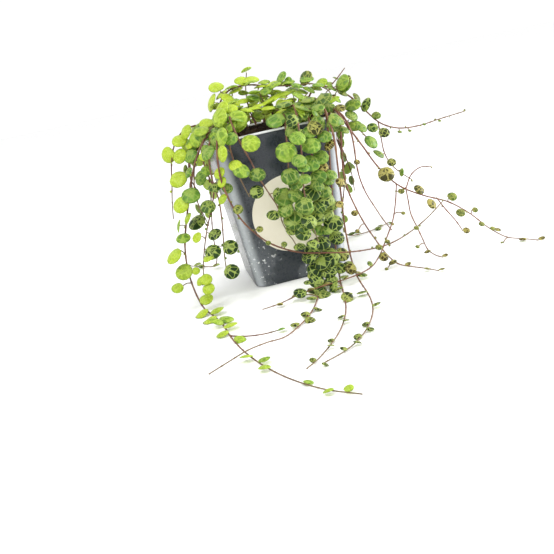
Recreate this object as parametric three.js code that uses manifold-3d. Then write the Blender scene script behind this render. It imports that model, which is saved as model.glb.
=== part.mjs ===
// A potted string of turtles: a square plastic pot, its soil, a round paper label, and the plant,
// whose thin stems carry small round leaves, arch over the rim and trail down to the surface.
// Millimetres, +Z up. The origin is the middle of the pot's flat base, on the surface it stands on.
// The side with the label faces -Y.
import * as THREE from 'three';
import { mergeVertices } from 'three/addons/utils/BufferGeometryUtils.js';
import Module from 'manifold-3d';

const wasm = await Module();
wasm.setup();

// Pot
const RIM_WIDTH = 90;
const BASE_WIDTH = 69;
const POT_HEIGHT = 110;
const RIM_CORNER = 13;
const WALL = 1.2;
const FLOOR = 1.6;
const DRAIN_RADIUS = 4.5;
const DRAIN_OFFSET = 19;

// Soil
const GAP = 0.3;
const SOIL_TOP = 102.5;
const MOUND_RADIUS = 36;
const MOUND_HEIGHT = 9;
const STEM_LIFT = 1.2;

// Label
const LABEL_RADIUS = 28;
const LABEL_THICK = 0.4;
const LABEL_HEIGHT = 50;

// Plant
const STEM_RADIUS = 0.8;
const STEM_SIDES = 4;
const STEM_STEP = 11;
const LEAF_SIDES = 6;
const LEAF_FLATNESS = 0.3;
const LEAF_HOLD = 0.72;
const LEAF_SPREAD = 1.55;
const CLEARANCE = 0.45;

const plastic = new THREE.MeshStandardMaterial({ color: 0x4b5058, roughness: 0.25, metalness: 0 });
const peat = new THREE.MeshStandardMaterial({ color: 0x2a1d15, roughness: 0.95, metalness: 0 });
const paper = new THREE.MeshStandardMaterial({ color: 0xe6dec8, roughness: 0.7, metalness: 0 });
const foliage = new THREE.MeshStandardMaterial({ color: 0x6f9c3a, roughness: 0.5, metalness: 0 });

// Strings of leaves. size is the leaf radius at the soil and at the tip, every is the spacing along
// the stem, bare is the length with no leaf at the soil end. Each further route is a side shoot.
// The solid strings carry fewer leaves than a living one: LEAF_SPREAD widens the spacing.
const STRINGS = [
  { name: 'string_left_long', size: [6.8, 3], every: 13, bare: 18, routes: [
    [[-30, -16, 106], [-38, -23, 114], [-47, -29, 112], [-54, -32, 104], [-61, -36, 92], [-67, -37, 77],
      [-73, -38, 61], [-78, -40, 45], [-80, -43, 29], [-79, -48, 14], [-76, -57, 3.5], [-72, -70, 1.3],
      [-68, -95, 1.3], [-66, -125, 1.3], [-62, -155, 1.3], [-55, -185, 1.3], [-46, -210, 1.3],
      [-34, -232, 1.3], [-20, -248, 1.3]],
    [[-66, -122, 1.3], [-57, -130, 1.3], [-47, -134, 1.3], [-37, -134, 1.3]]] },
  { name: 'string_left_second', size: [5.5, 4.2], every: 12, bare: 20, routes: [
    [[-26, -24, 106.7], [-36, -30, 117], [-46, -35, 115], [-52, -39, 105], [-52, -42, 93],
      [-50, -44, 80], [-54, -45, 68], [-60, -47, 56], [-65, -49, 44], [-69, -51, 32], [-72, -53, 19]]] },
  { name: 'string_left_short', size: [6.2, 4], every: 12, bare: 16, routes: [
    [[-32, -8, 105.5], [-42, -13, 113.5], [-50, -18, 110], [-56, -21, 100], [-60, -24, 88],
      [-62, -26, 76], [-61, -28, 64], [-60, -30, 54]]] },
  { name: 'string_left_high', size: [7, 6], every: 13, bare: 16, routes: [
    [[-28, 3, 106], [-38, -2, 116], [-50, -6, 121], [-60, -10, 119], [-68, -13, 111], [-73, -16, 99],
      [-76, -18, 86], [-79, -19, 73], [-81, -21, 62]]] },
  { name: 'string_left_corner', size: [5.5, 4.5], every: 12, bare: 20, routes: [
    [[-36, -30, 104.3], [-41, -39, 113], [-46, -45, 110], [-49, -49, 99], [-50, -51, 87], [-49, -53, 73],
      [-50, -54, 60], [-52, -55, 47], [-54, -56, 35], [-55, -57, 25]]] },
  { name: 'string_front_left', size: [6.5, 3.5], every: 13, bare: 16, routes: [
    [[-22, -24, 107], [-26, -35, 119], [-29, -46, 124], [-29, -53, 118], [-27, -57, 107],
      [-23, -58, 94], [-20, -59, 82], [-16, -60, 71], [-12, -61, 60], [-11, -61, 49], [-8, -61, 39]]] },
  { name: 'string_front_left_short', size: [5.5, 5], every: 12, bare: 18, routes: [
    [[-27, -33, 105], [-31, -40, 114.5], [-33, -47, 116.5], [-34, -53, 110], [-34, -56, 99],
      [-33, -57, 88], [-31, -58, 79], [-29, -59, 71]]] },
  { name: 'string_front_crossing', size: [3.5, 3], every: 19, bare: 40, routes: [
    [[-33, -38, 104.3], [-37, -46, 114.5], [-41, -54, 112], [-44, -58, 101], [-45, -60, 86],
      [-42, -60, 69], [-37, -61, 56], [-31, -62, 47], [-24, -63, 39], [-14, -65, 32], [-3, -67, 27],
      [10, -69, 24], [24, -70, 21], [40, -71, 19], [56, -71, 19], [71, -71, 23], [87, -69, 30],
      [101, -66, 38]]] },
  { name: 'string_front_middle', size: [7, 6], every: 13, bare: 24, routes: [
    [[6, -24, 107], [7, -36, 116], [7, -47, 117.5], [5, -54, 108], [3, -57, 96], [1, -58, 84],
      [-1, -59, 72], [-2, -59, 62], [-1, -60, 54]]] },
  { name: 'string_centre_outer', size: [6.5, 4.8], every: 13, bare: 26, routes: [
    [[13, -14, 107.6], [15, -30, 119], [15, -44, 122.5], [14, -55, 117], [12, -63, 106], [10, -67, 93],
      [8, -69, 80], [6, -70, 67], [6, -71, 54], [7, -73, 42], [8, -75, 33]]] },
  { name: 'string_centre_left_long', size: [6.8, 1.8], every: 14, bare: 26, routes: [
    [[20, -20, 107], [22, -33, 116], [23, -46, 117], [22, -53, 108], [20, -56, 96], [18, -57, 84],
      [16, -58, 70], [14, -59, 56], [13, -60, 42], [12, -61, 30], [9, -62, 18], [6, -64, 8],
      [3, -70, 2.4], [0, -80, 1.3], [-5, -97, 1.3], [-13, -116, 1.3], [-24, -134, 1.3],
      [-37, -149, 1.6], [-49, -158, 4.4], [-61, -165, 5.4], [-73, -171, 4], [-85, -175, 1.6]]] },
  { name: 'string_centre_long', size: [6, 1.8], every: 14, bare: 26, routes: [
    [[31, -20, 106], [34, -32, 115], [35, -43, 116.5], [35, -50, 110], [33, -53, 98], [31, -54, 84],
      [29, -55, 70], [27, -56, 56], [25, -57, 42], [23, -58, 28], [21, -60, 14], [20, -64, 5],
      [18, -72, 1.5], [15, -88, 1.3], [11, -108, 1.3], [6, -128, 1.3], [-1, -148, 1.3],
      [-10, -167, 1.3], [-20, -183, 1.3], [-29, -195, 1.3], [-36, -202, 1.3]]] },
  { name: 'string_centre_right_long', size: [6, 2], every: 14, bare: 30, routes: [
    [[25, -8, 107.2], [30, -26, 119], [32, -40, 123], [33, -52, 119], [34, -60, 108], [34, -64, 96],
      [33, -65, 82], [32, -65, 68], [31, -65, 54], [30, -65, 40], [30, -64, 26], [30, -66, 13],
      [30, -72, 4], [29, -84, 1.4], [27, -102, 1.3], [24, -122, 1.3], [19, -142, 1.3], [11, -161, 1.3],
      [1, -178, 1.3], [-12, -192, 1.3], [-27, -201, 1.3]]] },
  { name: 'string_right_long', size: [5, 2.6], every: 17, bare: 30, routes: [
    [[30, -6, 106], [37, -15, 116], [42, -23, 119], [47, -29, 112], [53, -33, 99], [60, -36, 84],
      [68, -39, 67], [80, -42, 51], [95, -46, 41], [111, -50, 33], [124, -54, 22], [135, -60, 9],
      [143, -68, 2.2], [150, -79, 1.3], [155, -91, 1.3]],
    [[78, -42, 53], [73, -49, 42], [67, -55, 31], [59, -60, 21], [51, -65, 12], [42, -72, 7],
      [32, -77, 5.6], [20, -80, 5.2], [8, -82, 5.2], [-4, -84, 5.2], [-16, -86, 4.2], [-28, -88, 2.6],
      [-40, -88, 1.6]],
    [[84, -43, 49], [82, -50, 41], [81, -54, 32], [83, -57, 22], [85, -59, 13], [87, -61, 5],
      [90, -66, 1.6], [92, -74, 1.3]],
    [[104, -48, 37], [106, -55, 30], [110, -62, 21], [112, -67, 14]],
    [[84, -43, 48], [89, -44, 57], [96, -45, 61], [104, -45, 60]]] },
  { name: 'string_right_arching', size: [5.5, 1.6], every: 17, bare: 22, routes: [
    [[27, 4, 106.4], [34, -1, 120], [42, -5, 129], [53, -8, 126], [64, -10, 118], [73, -12, 106],
      [83, -14, 94], [95, -16, 88], [110, -17, 86.5], [127, -18, 88], [145, -20, 89.5]],
    [[81, -14, 96], [80, -18, 84], [79, -23, 74], [81, -28, 65], [86, -32, 58], [92, -36, 52]],
    [[51, -8, 127], [58, -8, 132], [65, -8, 138]]] },
  { name: 'string_right_bundle', size: [5.5, 4.5], every: 13, bare: 20, routes: [
    [[33, 0, 105.2], [42, -9, 114.5], [50, -16, 110], [57, -20, 101], [65, -22, 92], [71, -21, 83]]] },
  { name: 'string_right_thin', size: [1.8, 1.6], every: 18, bare: 34, routes: [
    [[36, -24, 104.3], [43, -33, 114], [49, -38, 108], [52, -41, 97], [52, -43, 86], [51, -45, 74],
      [51, -47, 64], [53, -49, 53], [57, -51, 42], [61, -53, 32], [65, -55, 24]]] },
  { name: 'string_right_wall', size: [4.5, 2.2], every: 14, bare: 24, routes: [
    [[37, -32, 104.3], [42, -42, 114], [44, -50, 109], [42, -53, 98], [40, -53, 84], [39, -52, 70],
      [40, -52, 58], [43, -53, 45], [47, -55, 32], [52, -57, 20], [57, -60, 9], [62, -66, 2.4],
      [68, -77, 1.3], [74, -90, 1.3], [78, -101, 1.3]]] },
  { name: 'shoot_top_arch', size: [6, 5], every: 12, bare: 18, routes: [
    [[-24, 8, 107], [-29, 3, 120], [-28, -1, 133], [-20, -4, 140], [-8, -7, 141], [8, -11, 137],
      [24, -16, 134], [38, -20, 132], [46, -24, 126]]] },
  { name: 'shoot_top_upright', size: [5.5, 5], every: 12, bare: 12, routes: [
    [[-4, 10, 108.2], [-7, 9, 122], [-7, 7, 137], [-4, 6, 149]]] },
];

// Strings that leave over the rim on the sides and back: [name, degrees from +X, height of the tip,
// length on the surface, sideways sway, leaf radius at the soil and at the tip].
const OVER_RIM = [
  ['string_side_right_1', 12, 46, 0, 6, 6, 4],
  ['string_side_right_2', 32, 1.3, 46, -7, 6, 3],
  ['string_corner_right', 50, 30, 0, 5, 6.4, 4.2],
  ['string_back_right_1', 66, 1.3, 70, 6, 6.4, 2.6],
  ['string_back_right_2', 79, 58, 0, -5, 6.6, 5],
  ['string_back_middle', 92, 22, 0, 5, 6.6, 4],
  ['string_back_left_1', 105, 1.3, 88, -6, 6.6, 2.4],
  ['string_back_left_2', 118, 64, 0, 6, 6.2, 5],
  ['string_corner_left', 132, 1.3, 36, -6, 6.4, 3.2],
  ['string_side_left_1', 148, 40, 0, 5, 6.4, 4.4],
  ['string_side_left_2', 163, 70, 0, 4, 6.6, 5],
];

// Short leafy shoots that stand on the soil: [x, y, lean direction in degrees, height].
const CROWN_SHOOTS = [
  [-34, -30, 215, 13], [-14, -14, 200, 17], [17, -32, 290, 13], [0, -6, 265, 21], [-13, 18, 120, 16],
  [4, 26, 80, 15], [18, 12, 30, 17], [22, 30, 60, 12], [-28, 28, 140, 12], [8, 4, 300, 24],
  [36, 16, 10, 10],
];

function halfWidth(z) {
  return (BASE_WIDTH + (RIM_WIDTH - BASE_WIDTH) * z / POT_HEIGHT) / 2;
}

function soilHeight(x, y) {
  const reach = Math.hypot(x, y) / MOUND_RADIUS;
  return SOIL_TOP + (reach < 1 ? MOUND_HEIGHT * Math.sqrt(1 - reach * reach) : 0);
}

function toSolid(geometry) {
  const bare = geometry.index ? geometry.toNonIndexed() : geometry.clone();
  bare.deleteAttribute('normal');
  bare.deleteAttribute('uv');
  const merged = mergeVertices(bare, 1e-4);
  return new wasm.Manifold(new wasm.Mesh({
    numProp: 3,
    vertProperties: new Float32Array(merged.attributes.position.array),
    triVerts: new Uint32Array(merged.index.array),
  }));
}

function toMesh(solid, name, material) {
  const result = solid.getMesh();
  const geometry = new THREE.BufferGeometry();
  geometry.setAttribute('position', new THREE.BufferAttribute(new Float32Array(result.vertProperties), 3));
  geometry.setIndex(new THREE.BufferAttribute(new Uint32Array(result.triVerts), 1));
  geometry.computeVertexNormals();
  const mesh = new THREE.Mesh(geometry, material);
  mesh.name = name;
  return mesh;
}

// A rounded-square block that tapers with the pot, inset all round, from z0 to z1.
function taperedBlock(inset, z0, z1) {
  const half = RIM_WIDTH / 2 - inset;
  const corner = RIM_CORNER - inset;
  const outline = new THREE.Shape();
  outline.absarc(half - corner, half - corner, corner, 0, Math.PI / 2);
  outline.absarc(corner - half, half - corner, corner, Math.PI / 2, Math.PI);
  outline.absarc(corner - half, corner - half, corner, Math.PI, 1.5 * Math.PI);
  outline.absarc(half - corner, corner - half, corner, 1.5 * Math.PI, 2 * Math.PI);
  const block = new THREE.ExtrudeGeometry(outline, { depth: z1 - z0, bevelEnabled: false, curveSegments: 5 });
  block.translate(0, 0, z0);
  const position = block.attributes.position;
  for (let i = 0; i < position.count; i += 1) {
    const scale = (halfWidth(position.getZ(i)) - inset) / half;
    position.setX(i, position.getX(i) * scale);
    position.setY(i, position.getY(i) * scale);
  }
  return toSolid(block);
}

function makePot() {
  let pot = taperedBlock(0, 0, POT_HEIGHT).subtract(taperedBlock(WALL, FLOOR, POT_HEIGHT + WALL));
  for (const x of [-DRAIN_OFFSET, DRAIN_OFFSET]) {
    for (const y of [-DRAIN_OFFSET, DRAIN_OFFSET]) {
      const drain = new THREE.CylinderGeometry(DRAIN_RADIUS, DRAIN_RADIUS, 4 * FLOOR, 12);
      drain.rotateX(Math.PI / 2);
      drain.translate(x, y, 0);
      pot = pot.subtract(toSolid(drain));
    }
  }
  return toMesh(pot, 'pot', plastic);
}

function makeSoil() {
  const block = taperedBlock(WALL + GAP, FLOOR + GAP, SOIL_TOP);
  const mound = new THREE.SphereGeometry(1, 14, 6);
  mound.rotateX(Math.PI / 2);
  mound.scale(MOUND_RADIUS, MOUND_RADIUS, MOUND_HEIGHT);
  mound.translate(0, 0, SOIL_TOP);
  return toMesh(block.add(toSolid(mound)), 'soil', peat);
}

function makeLabel() {
  const disc = new THREE.CylinderGeometry(LABEL_RADIUS, LABEL_RADIUS, LABEL_THICK, 32);
  const tilt = Math.atan((RIM_WIDTH - BASE_WIDTH) / 2 / POT_HEIGHT);
  const label = new THREE.Mesh(disc, paper);
  label.rotation.x = tilt;
  label.position.set(0, -halfWidth(LABEL_HEIGHT) - (GAP + LABEL_THICK / 2) / Math.cos(tilt), LABEL_HEIGHT);
  label.name = 'label';
  return label;
}

// The route of a string that leaves over the rim at an angle, hangs, and may run on along the surface.
function overRimRoute(degrees, tip, run, sway) {
  const angle = THREE.MathUtils.degToRad(degrees);
  const out = new THREE.Vector3(Math.cos(angle), Math.sin(angle), 0);
  const side = new THREE.Vector3(-out.y, out.x, 0);
  const corner = (RIM_WIDTH / 2 - RIM_CORNER) * Math.SQRT2 + RIM_CORNER;
  const rim = Math.min(RIM_WIDTH / 2 / Math.max(Math.abs(out.x), Math.abs(out.y)), corner);
  const at = (reach, shift, z) => out.clone().multiplyScalar(reach).addScaledVector(side, shift).setZ(z);
  const start = at(0.68 * rim, 0, 0);
  const points = [start.setZ(soilHeight(start.x, start.y) + STEM_LIFT), at(0.86 * rim, 0.1 * sway, POT_HEIGHT + 5),
    at(rim + 3, 0.2 * sway, POT_HEIGHT + 5)];
  const drops = Math.max(3, Math.round((POT_HEIGHT - tip) / 14));
  for (let i = 0; i <= drops; i += 1) {
    const down = i / drops;
    const z = THREE.MathUtils.lerp(POT_HEIGHT - 4, run ? 14 : tip, down);
    points.push(at(rim + 9 + 7 * Math.sin(2.4 * down), sway * Math.sin(4.5 * down), z));
  }
  const foot = rim + 9 + 7 * Math.sin(2.4);
  const steps = run ? Math.ceil(run / 20) : 0;
  for (let i = 0; i <= steps && run; i += 1) {
    const along = run * i / steps;
    points.push(at(foot + 4 + along, sway * (Math.sin(4.5) + Math.sin(along / 22)), i ? 1.3 : 4.5));
  }
  return points;
}

function crownRoute(x, y, degrees, height) {
  const angle = THREE.MathUtils.degToRad(degrees);
  const base = new THREE.Vector3(x, y, soilHeight(x, y) + STEM_LIFT);
  const lean = new THREE.Vector3(Math.cos(angle), Math.sin(angle), 0);
  return [base, base.clone().addScaledVector(lean, 1.5).setZ(base.z + 0.5 * height),
    base.clone().addScaledVector(lean, 6).setZ(base.z + 0.9 * height),
    base.clone().addScaledVector(lean, 12).setZ(base.z + height)];
}

// A hand-laid string's points, with its first one lifted onto the soil.
function laidRoute(points, index) {
  const route = points.map((point) => new THREE.Vector3(...point));
  const start = route[0];
  if (index === 0) start.setZ(Math.max(start.z, soilHeight(start.x, start.y) + STEM_LIFT));
  return route;
}

function allStrings() {
  const list = STRINGS.map((string) => ({ ...string, routes: string.routes.map(laidRoute) }));
  for (const [name, degrees, tip, run, sway, first, last] of OVER_RIM) {
    list.push({ name, size: [first, last], every: 15, bare: 22, routes: [overRimRoute(degrees, tip, run, sway)] });
  }
  CROWN_SHOOTS.forEach(([x, y, degrees, height], index) => {
    list.push({ name: `crown_shoot_${index + 1}`, size: [5.5, 6], every: 8, bare: 7,
      routes: [crownRoute(x, y, degrees, height)] });
  });
  return list;
}

function stemSteps(curve) {
  return Math.max(3, Math.round(curve.getLength() / STEM_STEP));
}

function stemSolid(curve) {
  const section = new THREE.Shape();
  for (let i = 0; i < STEM_SIDES; i += 1) {
    const turn = 2 * Math.PI * i / STEM_SIDES;
    const draw = i ? 'lineTo' : 'moveTo';
    section[draw](STEM_RADIUS * Math.cos(turn), STEM_RADIUS * Math.sin(turn));
  }
  const steps = stemSteps(curve);
  return toSolid(new THREE.ExtrudeGeometry(section, { steps, extrudePath: curve, bevelEnabled: false }));
}

// A leaf is a flat lens at one of the stem's steps. Its stem side reaches over the stem, and it faces away from the pot's axis,
// or upwards where it lies on the surface or stands on the soil.
function leafAt(curve, along, radius, side) {
  const where = curve.getPointAt(along);
  const tangent = curve.getTangentAt(along);
  const face = where.z < 8 || where.z > POT_HEIGHT + 3
    ? new THREE.Vector3(0.2 * where.x / 45, 0.2 * where.y / 45, 1)
    : new THREE.Vector3(where.x, where.y, 12).normalize();
  const across = new THREE.Vector3().crossVectors(tangent, face).normalize().multiplyScalar(side);
  face.crossVectors(across, tangent).normalize().multiplyScalar(side);
  const centre = where.clone().addScaledVector(across, LEAF_HOLD * radius);
  return { centre, face, across, tangent, radius };
}

function leafSolid(leaf) {
  const lens = new THREE.SphereGeometry(1, LEAF_SIDES, 2);
  lens.scale(leaf.radius, LEAF_FLATNESS * leaf.radius, leaf.radius);
  const frame = new THREE.Matrix4().makeBasis(leaf.across, leaf.face,
    new THREE.Vector3().crossVectors(leaf.across, leaf.face));
  lens.applyMatrix4(frame.setPosition(leaf.centre));
  return toSolid(lens);
}

// Points spread over a leaf, each with the leaf's half thickness there.
function leafPoints(leaf, owner) {
  const points = [{ at: leaf.centre, thick: LEAF_FLATNESS * leaf.radius, owner }];
  const second = new THREE.Vector3().crossVectors(leaf.across, leaf.face);
  for (const [share, count] of [[0.5, 6], [0.98, 12]]) {
    for (let i = 0; i < count; i += 1) {
      const turn = 2 * Math.PI * i / count;
      const at = leaf.centre.clone().addScaledVector(leaf.across, share * leaf.radius * Math.cos(turn))
        .addScaledVector(second, share * leaf.radius * Math.sin(turn));
      points.push({ at, thick: LEAF_FLATNESS * leaf.radius * (1 - share), owner });
    }
  }
  return points;
}

function clearOfPot({ at, thick }) {
  const room = thick + CLEARANCE;
  if (at.z < room) return false;
  if (at.z > POT_HEIGHT + room) return true;
  const flat = halfWidth(at.z) - RIM_CORNER;
  const beyond = Math.hypot(Math.max(Math.abs(at.x) - flat, 0), Math.max(Math.abs(at.y) - flat, 0)) - RIM_CORNER;
  return beyond > room || (beyond < -WALL - room && at.z > soilHeight(at.x, at.y) + room);
}

// A thing's point clashes with a leaf when it lies within the leaf's outline and thickness.
function clashes(leaf, { at, thick }) {
  const offset = at.clone().sub(leaf.centre);
  const height = Math.abs(offset.dot(leaf.face));
  const reach = Math.sqrt(Math.max(offset.lengthSq() - height * height, 0));
  const local = LEAF_FLATNESS * leaf.radius * Math.max(0, 1 - reach / leaf.radius);
  return reach < leaf.radius + thick + CLEARANCE && height < local + thick + CLEARANCE + 0.2;
}

const strings = allStrings();
const occupied = [];
for (const string of strings) {
  string.curves = string.routes.map((route) => new THREE.CatmullRomCurve3(route, false, 'centripetal'));
  for (const curve of string.curves) {
    const count = Math.ceil(curve.getLength() / 2);
    for (const at of curve.getSpacedPoints(count)) occupied.push({ at, thick: STEM_RADIUS, owner: string.name });
  }
}

function growString(string) {
  let solid = null;
  const leaves = [];
  string.curves.forEach((curve, shoot) => {
    const stem = stemSolid(curve);
    solid = solid ? solid.add(stem) : stem;
    const length = curve.getLength();
    const steps = stemSteps(curve);
    const bare = shoot ? 8 : string.bare;
    const spacing = LEAF_SPREAD * string.every;
    const count = Math.floor((length - bare) / spacing);
    for (let i = 0; i <= count; i += 1) {
      const along = Math.round((bare + i * spacing) / length * steps) / steps;
      const first = shoot ? 0.5 * (string.size[0] + string.size[1]) : string.size[0];
      const radius = THREE.MathUtils.lerp(first, string.size[1], along);
      leaves.push(leafAt(curve, along, radius, i % 2 ? 1 : -1));
    }
  });
  for (const leaf of leaves) {
    const points = leafPoints(leaf, string.name);
    const others = occupied.filter((thing) => thing.owner !== string.name
      && thing.at.distanceTo(leaf.centre) < 2 * leaf.radius + 8);
    const free = points.every(clearOfPot) && !others.some((thing) => clashes(leaf, thing)
      || (thing.leaf && points.some((point) => clashes(thing.leaf, point))));
    if (free) {
      solid = solid.add(leafSolid(leaf));
      points[0].leaf = leaf;
      occupied.push(...points);
    }
  }
  return toMesh(solid, string.name, foliage);
}

const plant = new THREE.Group();
for (const string of strings) plant.add(growString(string));

const pottedPlant = new THREE.Group();
pottedPlant.add(makePot(), makeSoil(), makeLabel(), plant);

export default pottedPlant;
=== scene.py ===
import math
import random

import bmesh
import bpy
from mathutils import Matrix, Vector, noise


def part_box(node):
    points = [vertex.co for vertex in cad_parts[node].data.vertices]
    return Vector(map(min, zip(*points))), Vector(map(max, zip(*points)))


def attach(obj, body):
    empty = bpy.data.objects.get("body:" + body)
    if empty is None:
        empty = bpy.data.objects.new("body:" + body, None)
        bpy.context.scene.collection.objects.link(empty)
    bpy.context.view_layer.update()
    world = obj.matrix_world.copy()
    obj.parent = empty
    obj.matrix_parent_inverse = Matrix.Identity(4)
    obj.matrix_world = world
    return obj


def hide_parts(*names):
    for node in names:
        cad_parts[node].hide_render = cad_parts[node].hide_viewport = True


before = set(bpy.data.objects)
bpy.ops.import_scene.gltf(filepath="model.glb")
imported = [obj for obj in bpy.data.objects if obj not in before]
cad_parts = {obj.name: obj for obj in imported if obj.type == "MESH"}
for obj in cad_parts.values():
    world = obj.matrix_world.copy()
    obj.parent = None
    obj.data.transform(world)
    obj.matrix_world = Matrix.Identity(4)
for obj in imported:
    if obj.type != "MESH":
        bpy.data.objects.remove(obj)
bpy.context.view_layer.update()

bl_info = {
    "name": "Potted String of Turtles",
    "version": (1, 0, 0),
    "blender": (4, 5, 0),
    "location": "3D View > Sidebar > Turtles",
    "description": "Builds a trailing round-leaved plant in a square pot around its fixed frame",
    "category": "Add Mesh",
}

MM = 0.001
POT_LOW, POT_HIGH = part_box("pot")
RIM_WIDTH = POT_HIGH.x - POT_LOW.x
POT_HEIGHT = POT_HIGH.z
LABEL_LOW, LABEL_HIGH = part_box("label")
SOIL_TOP = 0.1025
BASE_WIDTH = 0.069
RIM_CORNER = 0.013
WALL = 0.0012
POT_FLOOR = 0.0016
DRAIN_RADIUS = 0.0045
DRAIN_OFFSET = 0.019
MOUND_RADIUS = 0.036
MOUND_HEIGHT = 0.009
STEM_LIFT = 0.0012

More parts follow.
